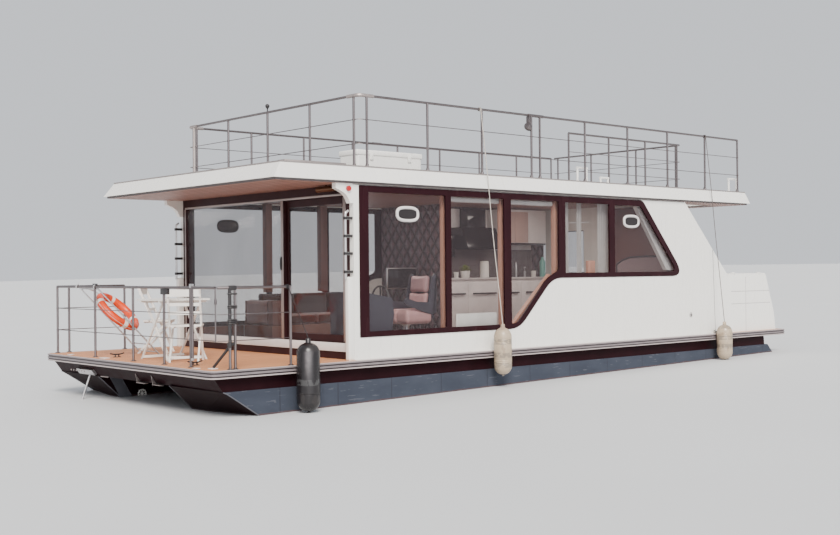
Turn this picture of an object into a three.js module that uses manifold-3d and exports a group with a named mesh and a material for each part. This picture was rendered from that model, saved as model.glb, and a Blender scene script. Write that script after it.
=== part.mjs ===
// A houseboat on two floats: cabin with large windows, roof terrace and bow terrace.
// Millimetres. +X points to the bow, +Y to port, +Z up.
// The origin lies on the waterline, amidships, on the centre plane.
import * as THREE from 'three';
import { ConvexGeometry } from 'three/addons/geometries/ConvexGeometry.js';
import { mergeVertices } from 'three/addons/utils/BufferGeometryUtils.js';
import Module from 'manifold-3d';

const wasm = await Module();
wasm.setup();

// Driving dimensions
const LENGTH = 12000;
const HALF_BEAM = 2150;
const DECK_HALF = 2205;
const RAIL_HALF = 2235;
const DECK_TOP = 449;
const DECK_UNDER = 365;
const BRIDGE_UNDER = 192;
const DRAFT = 380;
const GAP = 0.3;
const CLEAR = 5;
const FLOAT_INNER = 950;
const WALL_OUT = 2142;
const WALL_IN = 2062;
const CABIN_FRONT = 2130;
const SOFFIT_UNDER = 2670;
const ROOF_UNDER = 2696;
const ROOF_TOP = 2886;
const ROOF_RAIL_TOP = 3806;
const BOW_RAIL_TOP = 1391;
const BULKHEAD = { front: 9160, back: 9220 };
const WELL = { front: 11150, half: 520 };
const STAIR_HOLE = { front: 9250, back: 10700, low: 1060, high: 1660 };

// A station is given by its distance aft of the deck's front edge
const aft = (distance) => LENGTH / 2 - distance;

const FINISH = {
  white: { color: 0xf0efeb, roughness: 0.4, metalness: 0 },
  dark: { color: 0x231c1f, roughness: 0.35, metalness: 0 },
  hull: { color: 0x6f7680, roughness: 0.45, metalness: 0.3 },
  steel: { color: 0xb9bcc0, roughness: 0.25, metalness: 0.9 },
  orange: { color: 0xd9501f, roughness: 0.5, metalness: 0 },
  deck: { color: 0xc98a5a, roughness: 0.7, metalness: 0 },
  wood: { color: 0x7b543a, roughness: 0.6, metalness: 0 },
  glass: { color: 0x9fb0b8, roughness: 0.05, metalness: 0, transparent: true, opacity: 0.35 },
  grey: { color: 0x8e8a86, roughness: 0.6, metalness: 0 },
  fabric: { color: 0x5c5450, roughness: 0.9, metalness: 0 },
  rope: { color: 0xd9d4c8, roughness: 0.9, metalness: 0 },
  rubber: { color: 0x1b1a1c, roughness: 0.6, metalness: 0 },
};

const boat = new THREE.Group();

function addPiece(name, geometry, finish) {
  const mesh = new THREE.Mesh(geometry, new THREE.MeshStandardMaterial(FINISH[finish]));
  mesh.name = name;
  boat.add(mesh);
}

// Joining and cutting
function toSolid(geometry) {
  const bare = geometry.clone();
  bare.deleteAttribute('normal');
  bare.deleteAttribute('uv');
  const merged = mergeVertices(bare, 1e-3);
  return new wasm.Manifold(new wasm.Mesh({
    numProp: 3,
    vertProperties: new Float32Array(merged.attributes.position.array),
    triVerts: new Uint32Array(merged.index.array),
  }));
}

function toGeometry(solid) {
  const mesh = solid.getMesh();
  const geometry = new THREE.BufferGeometry();
  geometry.setAttribute('position', new THREE.BufferAttribute(mesh.vertProperties, 3));
  geometry.setIndex(new THREE.BufferAttribute(mesh.triVerts, 1));
  return geometry;
}

function join(...geometries) {
  return toGeometry(geometries.map(toSolid).reduce((sum, piece) => sum.add(piece)));
}

function cut(geometry, ...tools) {
  return toGeometry(tools.map(toSolid).reduce((rest, tool) => rest.subtract(tool), toSolid(geometry)));
}

// Basic forms; front and back are distances aft of the deck's front edge
function block(front, back, yLow, yHigh, zLow, zHigh) {
  const geometry = new THREE.BoxGeometry(back - front, yHigh - yLow, zHigh - zLow);
  return geometry.translate(aft((front + back) / 2), (yLow + yHigh) / 2, (zLow + zHigh) / 2);
}

// A round bar between two points, each given as [distance aft, y, z]
function rod(from, to, radius, sides = 6) {
  const start = new THREE.Vector3(aft(from[0]), from[1], from[2]);
  const end = new THREE.Vector3(aft(to[0]), to[1], to[2]);
  const along = end.clone().sub(start);
  const geometry = new THREE.CylinderGeometry(radius, radius, along.length(), sides);
  const turn = new THREE.Quaternion().setFromUnitVectors(new THREE.Vector3(0, 1, 0), along.normalize());
  geometry.applyQuaternion(turn);
  const middle = start.add(end).multiplyScalar(0.5);
  return geometry.translate(middle.x, middle.y, middle.z);
}

// An outline whose corners are [u, v, rounding]; the rounding is the length taken off each side
function outline(corners) {
  const shape = new THREE.Shape();
  corners.forEach(([u, v, round = 0], index) => {
    const here = new THREE.Vector2(u, v);
    const before = corners[(index + corners.length - 1) % corners.length];
    const after = corners[(index + 1) % corners.length];
    const towards = (other) => new THREE.Vector2(other[0], other[1]).sub(here).setLength(round).add(here);
    const entry = round ? towards(before) : here;
    if (index === 0) shape.moveTo(entry.x, entry.y);
    else shape.lineTo(entry.x, entry.y);
    if (round) {
      const exit = towards(after);
      shape.quadraticCurveTo(u, v, exit.x, exit.y);
    }
  });
  shape.closePath();
  return shape;
}

const CURVE_STEPS = 5;

function extrude(corners, holes, depth) {
  const settings = { bevelEnabled: false, curveSegments: CURVE_STEPS };
  const plate = new THREE.ExtrudeGeometry(outline(corners), { depth, ...settings });
  const deep = { depth: 3 * depth, ...settings };
  const tools = holes.map((hole) => new THREE.ExtrudeGeometry(outline(hole), deep).translate(0, 0, -depth));
  return tools.length ? cut(plate, ...tools) : plate;
}

// A plate that stands along the boat: corners are [distance aft, z, rounding]
function sidePlate(corners, holes, yLow, yHigh) {
  const place = (list) => list.map(([distance, z, round]) => [aft(distance), z, round]);
  const geometry = extrude(place(corners), holes.map(place), yHigh - yLow);
  return geometry.rotateX(Math.PI / 2).translate(0, yHigh, 0);
}

// A plate that stands across the boat: corners are [y, z, rounding]
function crossPlate(corners, holes, front, back) {
  const geometry = extrude(corners, holes, back - front);
  const turn = new THREE.Matrix4().makeBasis(
    new THREE.Vector3(0, 1, 0), new THREE.Vector3(0, 0, 1), new THREE.Vector3(1, 0, 0));
  return geometry.applyMatrix4(turn).translate(aft(back), 0, 0);
}

// A level plate: corners are [distance aft, y, rounding]
function levelPlate(corners, holes, zLow, zHigh) {
  const place = (list) => list.map(([distance, y, round]) => [aft(distance), y, round]);
  return extrude(place(corners), holes.map(place), zHigh - zLow).translate(0, 0, zLow);
}

const frameOf = (low, high, bottom, top) => [[low, bottom], [high, bottom], [high, top], [low, top]];

// Butt hinge: knuckles in turn on the fixed part and on the leaf, all round one axis.
// axis is a point [distance aft, y, z]; the vectors run in the boat's x, y, z.
const KNUCKLE = { radius: 9, length: 40, reach: 26, stand: 10 };

function hingeHalf(axis, along, into, towards, offset) {
  const start = new THREE.Vector3(aft(axis[0]), axis[1], axis[2]).addScaledVector(along, offset);
  const turn = new THREE.Matrix4().makeBasis(towards, into, along);
  if (turn.determinant() < 0) turn.makeBasis(into, towards, along);
  const barrel = new THREE.CylinderGeometry(KNUCKLE.radius, KNUCKLE.radius, KNUCKLE.length, 8);
  barrel.rotateX(Math.PI / 2).applyMatrix4(turn);
  const depth = KNUCKLE.stand + 2;
  const size = new THREE.Vector3().addScaledVector(along, KNUCKLE.length)
    .addScaledVector(towards, KNUCKLE.reach).addScaledVector(into, depth);
  const tab = new THREE.BoxGeometry(Math.abs(size.x), Math.abs(size.y), Math.abs(size.z));
  const middle = new THREE.Vector3().addScaledVector(towards, KNUCKLE.reach / 2)
    .addScaledVector(into, depth / 2);
  tab.translate(middle.x, middle.y, middle.z);
  const centre = start.addScaledVector(along, KNUCKLE.length / 2);
  return join(barrel, tab).translate(centre.x, centre.y, centre.z);
}

// Returns the fixed knuckles and the leaf's knuckles of hinges at the given offsets along the axis
function buttHinges(axis, along, into, leafSide, offsets) {
  const back = leafSide.clone().negate();
  const fixed = offsets.map((offset) => hingeHalf(axis, along, into, back, offset));
  const leaf = offsets.map((offset) => (
    hingeHalf(axis, along, into, leafSide, offset + KNUCKLE.length + GAP)));
  return { fixed: join(...fixed), leaf: join(...leaf) };
}

const UP = new THREE.Vector3(0, 0, 1);
const TO_BOW = new THREE.Vector3(1, 0, 0);
const TO_PORT = new THREE.Vector3(0, 1, 0);
const TO_STARBOARD = new THREE.Vector3(0, -1, 0);
const DOWN = new THREE.Vector3(0, 0, -1);

// Floats: raked bow with a chine on the outer side, flat bottom, raked stern.
// distance aft, part of the float's width from the inner side, z
const FLOAT_TOP = BRIDGE_UNDER - GAP;
const FLOAT_POINTS = [
  [180, 0, FLOAT_TOP], [620, 0, -230], [1050, 0, -DRAFT],
  [200, 1, FLOAT_TOP], [260, 1, 165], [760, 1, -160], [1250, 0.95, -DRAFT],
  [11570, 0, FLOAT_TOP], [11570, 1, FLOAT_TOP], [11740, 0, 30], [11740, 1, 30],
  [11700, 0, -120], [11700, 1, -120], [11250, 0, -DRAFT], [11250, 0.95, -DRAFT],
];
const THRUSTER = { station: 1500, z: -215, bore: 92, motorHalf: 34, hubRadius: 26, at: -1480 };

function floatHull(side) {
  const across = (part) => side * (FLOAT_INNER + part * (HALF_BEAM - FLOAT_INNER));
  const points = FLOAT_POINTS.map(([distance, part, z]) => new THREE.Vector3(aft(distance), across(part), z));
  return new ConvexGeometry(points);
}

// The starboard float carries the bow thruster: a cross bore with the motor's pod on a strut
function floatWithThruster() {
  const { station, z, bore, motorHalf, hubRadius, at } = THRUSTER;
  const hole = rod([station, -FLOAT_INNER + 60, z], [station, -HALF_BEAM - 60, z], bore, 16);
  const pod = rod([station, at + motorHalf, z], [station, at - motorHalf, z], hubRadius, 10);
  const strut = block(station - 14, station + 14, at - 22, at + 22, z + 10, z + bore + 12);
  return join(cut(floatHull(-1), hole), pod, strut);
}

// Dark upper hull: one slab across both floats, with the well for the motor at the stern
function bridgeHull() {
  const top = DECK_UNDER - GAP;
  const profile = [[80, top], [205, BRIDGE_UNDER], [11480, BRIDGE_UNDER], [11460, top]];
  const slab = sidePlate(profile, [], -HALF_BEAM + 8, HALF_BEAM - 8);
  const well = block(WELL.front, LENGTH, -WELL.half, WELL.half, BRIDGE_UNDER - 50, DECK_UNDER + 50);
  return cut(slab, well);
}

const wellCorners = (half, widen) => [
  [LENGTH, -half, 60], [LENGTH, -WELL.half - widen, 20], [WELL.front - widen, -WELL.half - widen, 20],
  [WELL.front - widen, WELL.half + widen, 20], [LENGTH, WELL.half + widen, 20], [LENGTH, half, 60]];

function deckSlab() {
  const corners = [[25, DECK_HALF, 100], [25, -DECK_HALF, 100], ...wellCorners(DECK_HALF, 0)];
  return levelPlate(corners, [], DECK_UNDER, DECK_TOP);
}

// Rub rail: a band round the deck's edge, open at the motor well
function rubRail() {
  const band = levelPlate([[0, RAIL_HALF, 120], [0, -RAIL_HALF, 120], [LENGTH, -RAIL_HALF, 60],
    [LENGTH, RAIL_HALF, 60]], [], DECK_UNDER - 12, DECK_TOP);
  const inside = levelPlate([[25 - GAP, DECK_HALF + GAP, 100], [25 - GAP, -DECK_HALF - GAP, 100],
    [LENGTH + 50, -DECK_HALF - GAP], [LENGTH + 50, DECK_HALF + GAP]], [], 0, DECK_TOP + 50);
  const under = block(60, LENGTH - 200, -HALF_BEAM + 8 - GAP, HALF_BEAM - 8 + GAP, 0, DECK_UNDER);
  return cut(band, inside, under);
}

// Window band: one dark frame with five panes, the same on both sides.
const FRAME_OUT = [[2217, 2655, 15], [2217, 729, 15], [5120, 729, 190], [5835, 1442, 190],
  [9080, 1442, 330], [7985, 2655, 70]];
// each pane: distance aft, z, rounding
const PANES = [
  [[2366, 800, 12], [3700, 800, 12], [3700, 2572, 12], [2366, 2572, 12]],
  [[3800, 800, 12], [4825, 800, 12], [4825, 2572, 12], [3800, 2572, 12]],
  [[4965, 806, 12], [5075, 806, 60], [5690, 1420, 90], [5980, 1560, 50], [5980, 2572, 12],
    [4965, 2572, 12]],
  [[6125, 1515, 12], [7150, 1515, 12], [7150, 2565, 12], [6125, 2565, 12]],
  [[7280, 1515, 12], [8890, 1515, 180], [7935, 2560, 40], [7280, 2560, 12]],
];
const FRAME_PROUD = 10;
const FRAME_DEPTH = 24;
const GLASS_THICK = 10;

// Grows a window outline outwards by a small even amount
function grown(corners, amount) {
  const centre = [5300, 1700];
  return corners.map(([distance, z, round]) => [
    distance + Math.sign(distance - centre[0]) * amount, z + Math.sign(z - centre[1]) * amount, round]);
}

const between = (side, inner, outer) => (side > 0 ? [inner, outer] : [-outer, -inner]);

// Cabin side: wall with the window band cut out. Its front edge grows forward into a curved
// bracket under the roof, and its aft edge slopes down to the stern locker.
const SEAM = { top: [9905, 1885], foot: [9965, DECK_TOP] };
const BRACKET = { front: 1857, tip: 2602, bend: [2045, 2530, 110], root: [2078, 2422] };

function cabinSide(side) {
  const top = SOFFIT_UNDER - GAP;
  const foot = DECK_TOP + GAP;
  const wall = [[CABIN_FRONT, foot], [CABIN_FRONT, BRACKET.root[1]], BRACKET.root, BRACKET.bend,
    [BRACKET.front, BRACKET.tip], [BRACKET.front, top], [9120, top], SEAM.top, [SEAM.foot[0], foot]];
  const [low, high] = between(side, WALL_IN, WALL_OUT);
  const panel = sidePlate(wall, [grown(FRAME_OUT, 2 * GAP)], low, high);
  return join(panel, grabRail(side), cableMoulding(side));
}

// Upright grab tube on four clamps in front of the wall's edge
const GRAB = { y: 2102, station: 2030, clamps: [1560, 1790, 2010, 2235], top: 2290, foot: 1500 };

function grabRail(side) {
  const y = side * GRAB.y;
  const tube = rod([GRAB.station, y, GRAB.foot], [GRAB.station, y, GRAB.top], 14, 8);
  const clamps = GRAB.clamps.map((z) => (
    block(GRAB.station - 8, CABIN_FRONT + 5, y - 20, y + 20, z - 18, z + 18)));
  return join(tube, ...clamps);
}

// Moulding under the grab tube, on the wall's front edge
function cableMoulding(side) {
  const y = side * GRAB.y;
  return block(GRAB.station + 18, CABIN_FRONT + 5, y - 32, y + 34, DECK_TOP + GAP, GRAB.foot - 10);
}

function windowFrame(side) {
  const outer = WALL_OUT + FRAME_PROUD;
  const [low, high] = between(side, outer - FRAME_DEPTH, outer);
  return sidePlate(FRAME_OUT, PANES, low, high);
}

function windowGlass(side) {
  const seat = WALL_OUT + FRAME_PROUD - FRAME_DEPTH - GAP;
  const [low, high] = between(side, seat - GLASS_THICK, seat);
  return sidePlate(grown(FRAME_OUT, -30), [], low, high);
}

// Cabin front: head, sill, jambs and meeting post; outer track for the fixed glass, inner for the door
const FRONT = { outer: 2130, track: 2178, inner: 2232, sill: 655, head: 2530, foot: DECK_TOP + GAP };
const FRONT_OPENING = { low: -1950, post: [548, 612], high: 1950 };

function cabinFrontFrame() {
  const half = WALL_IN - GAP;
  const whole = frameOf(-half, half, FRONT.foot, SOFFIT_UNDER - GAP);
  const { low, post, high } = FRONT_OPENING;
  const outer = crossPlate(whole, [frameOf(low, post[0], FRONT.sill, FRONT.head),
    frameOf(post[1], high, FRONT.sill, FRONT.head)], FRONT.outer, FRONT.track);
  const inner = crossPlate(whole, [frameOf(low, high, FRONT.sill, FRONT.head)], FRONT.track, FRONT.inner);
  return join(outer, inner);
}

const fixedGlass = () => block(2146, 2158, FRONT_OPENING.low + GAP, FRONT_OPENING.post[0] - GAP,
  FRONT.sill + GAP, FRONT.head - GAP);

// Sliding door on the inner track; it opens towards starboard
const DOOR = { front: FRONT.track + CLEAR, back: FRONT.inner - 10, stile: 95,
  low: 556, high: FRONT_OPENING.high - CLEAR };

function slidingDoorFrame() {
  const bottom = FRONT.sill + GAP;
  const top = FRONT.head - GAP;
  const glazed = frameOf(DOOR.low + DOOR.stile, DOOR.high - DOOR.stile, bottom + DOOR.stile, top - DOOR.stile);
  return crossPlate(frameOf(DOOR.low, DOOR.high, bottom, top), [glazed], DOOR.front, DOOR.back);
}

const slidingDoorGlass = () => block(DOOR.front + 12, DOOR.front + 22, DOOR.low + DOOR.stile + GAP,
  DOOR.high - DOOR.stile - GAP, FRONT.sill + DOOR.stile + 2 * GAP, FRONT.head - DOOR.stile - 2 * GAP);

// Aft bulkhead with a door opening and a window, and the hinged door
const AFT_DOOR = { low: -750, high: 60, bottom: 500, top: 2420, thick: 44, axisZ: [900, 1950] };
const AFT_WINDOW = frameOf(-1850, -1000, 1500, 2420);
const DOOR_WINDOW = frameOf(-600, -90, 1500, 2270);
const FLOOR_TOP = DECK_TOP + 16;

function aftDoorHinges() {
  const axis = [BULKHEAD.back + KNUCKLE.stand, AFT_DOOR.low + 2, 0];
  return buttHinges(axis, UP, TO_BOW, TO_PORT, AFT_DOOR.axisZ);
}

function aftBulkhead() {
  const half = WALL_IN - GAP;
  const whole = frameOf(-half, half, DECK_TOP + GAP, SOFFIT_UNDER - GAP);
  const doorway = frameOf(AFT_DOOR.low, AFT_DOOR.high, AFT_DOOR.bottom, AFT_DOOR.top);
  const plate = crossPlate(whole, [doorway, AFT_WINDOW], BULKHEAD.front, BULKHEAD.back);
  return join(plate, aftDoorHinges().fixed);
}

function aftDoor() {
  const { low, high, bottom, top, thick } = AFT_DOOR;
  const whole = frameOf(low + CLEAR, high - CLEAR, bottom + CLEAR, top - CLEAR);
  const leaf = crossPlate(whole, [DOOR_WINDOW], BULKHEAD.back - thick, BULKHEAD.back);
  const handle = rod([BULKHEAD.back - 5, 0, 1450], [BULKHEAD.back + 55, 0, 1450], 9, 8);
  return join(leaf, handle, aftDoorHinges().leaf);
}

// Roof: the edges lean outwards towards the bottom; a stair comes up through the opening
const ROOF_CORNERS = [[894, 2199, ROOF_UNDER], [10980, 2199, ROOF_UNDER], [1027, 2131, ROOF_TOP],
  [10921, 2131, ROOF_TOP]];

function roofSlab() {
  const points = ROOF_CORNERS.flatMap(([distance, y, z]) => (
    [1, -1].map((side) => new THREE.Vector3(aft(distance), side * y, z))));
  const { front, back, low, high } = STAIR_HOLE;
  const hole = block(front, back, low, high, ROOF_UNDER - 50, ROOF_TOP + 50);
  return join(cut(new ConvexGeometry(points), hole), ...ROOF_VENTS.map(roofVent));
}

// Goose-neck vents: distance aft of each leg, y, height above the roof
const VENT_RADIUS = 18;
const ROOF_VENTS = [[6584, 6794, 2000, 228], [7130, 7305, 2000, 100], [10625, 10860, 2000, 243]];

function roofVent([front, back, y, height]) {
  const top = ROOF_TOP + height;
  const foot = ROOF_TOP - 10;
  const legs = [front, back].map((distance) => rod([distance, y, foot], [distance, y, top], VENT_RADIUS, 8));
  return join(...legs, rod([front - VENT_RADIUS, y, top], [back + VENT_RADIUS, y, top], VENT_RADIUS, 8));
}

function soffit() {
  const { front, back, low, high } = STAIR_HOLE;
  const hole = [[front, low], [back, low], [back, high], [front, high]];
  const whole = [[930, -2160], [10940, -2160], [10940, 2160], [930, 2160]];
  return levelPlate(whole, [hole], SOFFIT_UNDER, ROOF_UNDER - GAP);
}

// Rails: posts, a top tube and two wires, joined into one piece
const TUBE = { post: 17, top: 17, wire: 5 };

// posts and ends are [distance aft, y]; a rail runs straight from the first end to the last
function railPanel(ends, posts, foot, top, wires, sides = 6) {
  const pieces = posts.map(([distance, y]) => (
    rod([distance, y, foot], [distance, y, top + 2], TUBE.post, sides)));
  pieces.push(rod([...ends[0], top], [...ends[1], top], TUBE.top, sides));
  wires.forEach((z) => pieces.push(rod([...ends[0], z], [...ends[1], z], TUBE.wire, 4)));
  return join(...pieces);
}

const ROOF_WIRES = [3190, 3500];
const ROOF_FOOT = ROOF_TOP + GAP;
const ROOF_RAIL = { front: 2268, side: 2090, back: 10760, aftRow: 10600, inner: 1000 };
const along = (stations, y) => stations.map((distance) => [distance, y]);
const across = (places, distance) => places.map((y) => [distance, y]);
const PORT_POSTS = [2400, 3440, 4460, 5470, 5650, 6660, 7690, 8730, 9780, 10760];
const STARBOARD_POSTS = [2400, 3400, 4430, 5460, 6480, 7500, 8520, 9540, 10550];

// The all-round light stands on the middle post
const RIDING_LIGHT = { y: 45, mast: 150, ball: 38 };

function roofRailFront() {
  const { front } = ROOF_RAIL;
  const { y, mast, ball } = RIDING_LIGHT;
  const stalk = rod([front, y, ROOF_RAIL_TOP], [front, y, ROOF_RAIL_TOP + mast], 12, 6);
  const lamp = new THREE.SphereGeometry(ball, 8, 6).rotateX(Math.PI / 2)
    .translate(aft(front), y, ROOF_RAIL_TOP + mast + 15);
  const panel = railPanel([[front, -2035], [front, 2035]], across([-1948, -975, y, 1042, 1990], front),
    ROOF_FOOT, ROOF_RAIL_TOP, ROOF_WIRES);
  return join(panel, stalk, lamp);
}

function roofRailSide(side, posts, back) {
  const y = side * ROOF_RAIL.side;
  const ends = [[ROOF_RAIL.front + 60, y], [back, y]];
  return railPanel(ends, along(posts, y), ROOF_FOOT, ROOF_RAIL_TOP, ROOF_WIRES);
}

// Aft rail and the guard along the stair opening
function roofRailAft() {
  const row = railPanel([[ROOF_RAIL.aftRow, -2040], [ROOF_RAIL.aftRow, ROOF_RAIL.inner]],
    across([-1950, -1090, 0, 990], ROOF_RAIL.aftRow), ROOF_FOOT, ROOF_RAIL_TOP, ROOF_WIRES);
  const guard = railPanel([[7540, ROOF_RAIL.inner], [ROOF_RAIL.aftRow, ROOF_RAIL.inner]],
    along([7540, 8570, 9570], ROOF_RAIL.inner), ROOF_FOOT, ROOF_RAIL_TOP, ROOF_WIRES);
  return join(row, guard);
}

// Low chest for cushions on the roof deck
const roofChest = () => block(3210, 4420, 460, 870, ROOF_FOOT, 3275);

// Steep stair from the stern deck through the roof
const STAIR = { foot: 10640, head: STAIR_HOLE.front + GAP, low: 1090, high: 1630, string: 32, width: 190,
  treads: 9, tread: 150, thick: 30 };

function stair() {
  const run = STAIR.foot - STAIR.head;
  const rise = ROOF_TOP - DECK_TOP;
  const string = [[STAIR.foot, DECK_TOP + GAP], [STAIR.foot - STAIR.width, DECK_TOP + GAP],
    [STAIR.head, ROOF_TOP - STAIR.width * rise / run], [STAIR.head, ROOF_TOP],
    [STAIR.head + 20, ROOF_TOP]];
  const strings = [STAIR.low, STAIR.high - STAIR.string].map((y) => (
    sidePlate(string, [], y, y + STAIR.string)));
  const treads = [];
  for (let step = 1; step <= STAIR.treads; step += 1) {
    const part = step / (STAIR.treads + 1);
    const back = STAIR.foot - part * run - 5;
    const z = DECK_TOP + part * rise;
    treads.push(block(back - STAIR.tread, back, STAIR.low + 10, STAIR.high - 10, z - STAIR.thick, z));
  }
  return join(...strings, ...treads);
}

// Bow terrace rail with a gate in the front
const BOW = { front: 150, side: 2175, wires: [1085, 780], foot: DECK_TOP + GAP };
const BOW_FRONT_POSTS = [-2145, -965, 105, 900, 1530];
const BOW_PORT_POSTS = [285, 355, 1130];
const BOW_STARBOARD_POSTS = [335, 1200];
const GATE = { hinge: 1530, low: 1575, high: 2085, latch: 2125, bottom: 560, top: BOW_RAIL_TOP + 17 };

function bowRailFront() {
  const last = BOW_FRONT_POSTS[BOW_FRONT_POSTS.length - 1];
  const ends = [[BOW.front, BOW_FRONT_POSTS[0]], [BOW.front, last]];
  const panel = railPanel(ends, across(BOW_FRONT_POSTS, BOW.front), BOW.foot, BOW_RAIL_TOP, BOW.wires);
  return join(panel, ...gatePins(), lifebuoyArm());
}

// Lugs on the hinge post, which stands a little above the rail, carry the gate's stile from below and above
function gatePins() {
  const reach = GATE.low + 17;
  const heights = [[GATE.bottom - 30, GATE.bottom - GAP], [GATE.top + GAP, GATE.top + 28]];
  const lugs = heights.map(([low, high]) => (
    block(BOW.front - 10, BOW.front + 10, GATE.hinge, reach, low, high)));
  return [...lugs, rod([BOW.front, GATE.hinge, BOW_RAIL_TOP], [BOW.front, GATE.hinge, GATE.top + 28], 15, 6)];
}

function bowGate() {
  const { low, high, bottom, top } = GATE;
  const stile = rod([BOW.front, low, bottom], [BOW.front, low, top], 14, 8);
  const end = rod([BOW.front, high, BOW.wires[1] - 10], [BOW.front, high, BOW_RAIL_TOP], 9, 6);
  const bars = [BOW_RAIL_TOP, ...BOW.wires].map((z, index) => (
    rod([BOW.front, low, z], [BOW.front, high, z], index ? 7 : TUBE.top, 6)));
  return join(stile, end, ...bars);
}

function bowRailSide(side, start, stations) {
  const y = side * BOW.side;
  const ends = [[start, y], [stations[stations.length - 1], y]];
  return railPanel(ends, along(stations, y), BOW.foot, BOW_RAIL_TOP, BOW.wires);
}

// To port the rail turns the corner, and the gate latches on its end
function bowCorner() {
  const start = BOW_PORT_POSTS[0];
  const pieces = [BOW_RAIL_TOP, ...BOW.wires].map((z, index) => (
    rod([start, BOW.side, z], [BOW.front, GATE.latch, z], index ? TUBE.wire : TUBE.top, index ? 4 : 6)));
  return join(...pieces);
}

// Lifebuoy: ring hung slanting behind the front rail
// slope runs down along the ring, level across it; the ring is then tipped about the slope
const BUOY = { centre: [540, -1090, 1046], radius: 300, tube: 56, tilt: 0.1,
  slope: new THREE.Vector3(-0.55, 0.485, -0.68).normalize(), level: new THREE.Vector3(-0.663, -0.748, 0) };

function buoyAxes() {
  const lift = new THREE.Vector3().crossVectors(BUOY.slope, BUOY.level).normalize();
  const second = BUOY.level.clone().multiplyScalar(Math.cos(BUOY.tilt))
    .addScaledVector(lift, Math.sin(BUOY.tilt));
  const normal = new THREE.Vector3().crossVectors(BUOY.slope, second).normalize();
  return { normal, second: new THREE.Vector3().crossVectors(normal, BUOY.slope) };
}

function lifebuoy() {
  const ring = new THREE.TorusGeometry(BUOY.radius, BUOY.tube, 8, 20);
  const { normal, second } = buoyAxes();
  ring.applyMatrix4(new THREE.Matrix4().makeBasis(BUOY.slope, second, normal));
  return ring.translate(aft(BUOY.centre[0]), BUOY.centre[1], BUOY.centre[2]);
}

// The arm reaches from the rail to the ring's outermost point and meets it square
function lifebuoyArm() {
  const [distance, y, z] = BUOY.centre;
  const beyond = (length) => {
    const rim = BUOY.slope.clone().multiplyScalar(-(BUOY.radius + BUOY.tube + length));
    return [distance - rim.x, y + rim.y, z + rim.z];
  };
  const bend = beyond(45);
  return join(rod([BOW.front, bend[1] - 20, BOW_RAIL_TOP], bend, 8, 6), rod(bend, beyond(GAP), 10, 6));
}

// Stern lockers: hollow chest with the side's outer wall, under a hinged lid
const LOCKER = { front: 10320, lidBack: 11545, inner: 1640, top: 1440, wall: 45, floor: 520 };
const LOCKER_FOOT = DECK_TOP + GAP;
const LOCKER_BACK = [[LOCKER.lidBack, LOCKER.top], [11800, 769], [11850, 460], [11850, LOCKER_FOOT]];
const LOCKER_SIDE = [[SEAM.foot[0] + 4, LOCKER_FOOT], [SEAM.top[0] + 4, SEAM.top[1] - 6],
  [LOCKER.front, 1470], [LOCKER.front, LOCKER.top], ...LOCKER_BACK];
const LID = { low: LOCKER.top + CLEAR, high: LOCKER.top + CLEAR + 24, hingeOffsets: [150, 950] };

function lockerHinges(side) {
  const axis = [LOCKER.lidBack - 30, side * (WALL_OUT - 12), LID.high + KNUCKLE.stand];
  return buttHinges(axis, TO_BOW, DOWN, side > 0 ? TO_STARBOARD : TO_PORT, LID.hingeOffsets);
}

function sternLocker(side) {
  const { front, lidBack, inner, top, wall, floor } = LOCKER;
  const [low, high] = between(side, WALL_IN, WALL_OUT);
  const skin = sidePlate(LOCKER_SIDE, [], low, high);
  const chestSide = [[front, LOCKER_FOOT], [front, top], ...LOCKER_BACK];
  const [chestLow, chestHigh] = between(side, inner, WALL_IN + 20);
  const [hollowLow, hollowHigh] = between(side, inner + wall, WALL_IN);
  const chest = sidePlate(chestSide, [], chestLow, chestHigh);
  const hollow = block(front + wall, lidBack - wall, hollowLow, hollowHigh, floor, top + 50);
  const [stripLow, stripHigh] = between(side, WALL_OUT - 10, WALL_OUT);
  const strip = block(front + 60, lidBack - 20, stripLow, stripHigh, top - 5, LID.high);
  return join(cut(join(skin, chest), hollow), strip, lockerHinges(side).fixed);
}

function lockerLid(side) {
  const [low, high] = between(side, LOCKER.inner, WALL_OUT - 10 - CLEAR);
  const plate = block(LOCKER.front + 8, LOCKER.lidBack, low, high, LID.low, LID.high);
  return join(plate, lockerHinges(side).leaf);
}

// Outboard motor: clamp bracket, tilting swivel, motor that steers, propeller
const MOTOR = { tiltStation: 11235, tiltZ: 640, ear: 150, steer: 11330, post: 30, postHalf: 90,
  propStation: 11640, propZ: -330, hub: 45, blade: 165 };

function motorBracket() {
  const { tiltStation, tiltZ, ear } = MOTOR;
  const back = WELL.front - 5;
  const plate = block(back - 40, back, -180, 180, DECK_TOP + 30, tiltZ + 80);
  const foot = block(back - 250, back, -180, 180, DECK_TOP + GAP, DECK_TOP + 40);
  const ears = [[ear - 30, ear], [-ear, 30 - ear]].map(([low, high]) =>
    block(back - 5, tiltStation + 30, low, high, tiltZ - 45, tiltZ + 45));
  return join(plate, foot, ...ears);
}

function motorSwivel() {
  const { tiltStation, tiltZ, ear, steer, post, postHalf } = MOTOR;
  const half = ear - 30 - GAP;
  const barrel = rod([tiltStation, -half, tiltZ], [tiltStation, half, tiltZ], 26, 10);
  const arm = block(tiltStation, steer, -22, 22, tiltZ - 60, tiltZ + 26);
  const upright = rod([steer, 0, tiltZ - postHalf], [steer, 0, tiltZ + postHalf], post, 10);
  return join(barrel, arm, upright);
}

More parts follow.
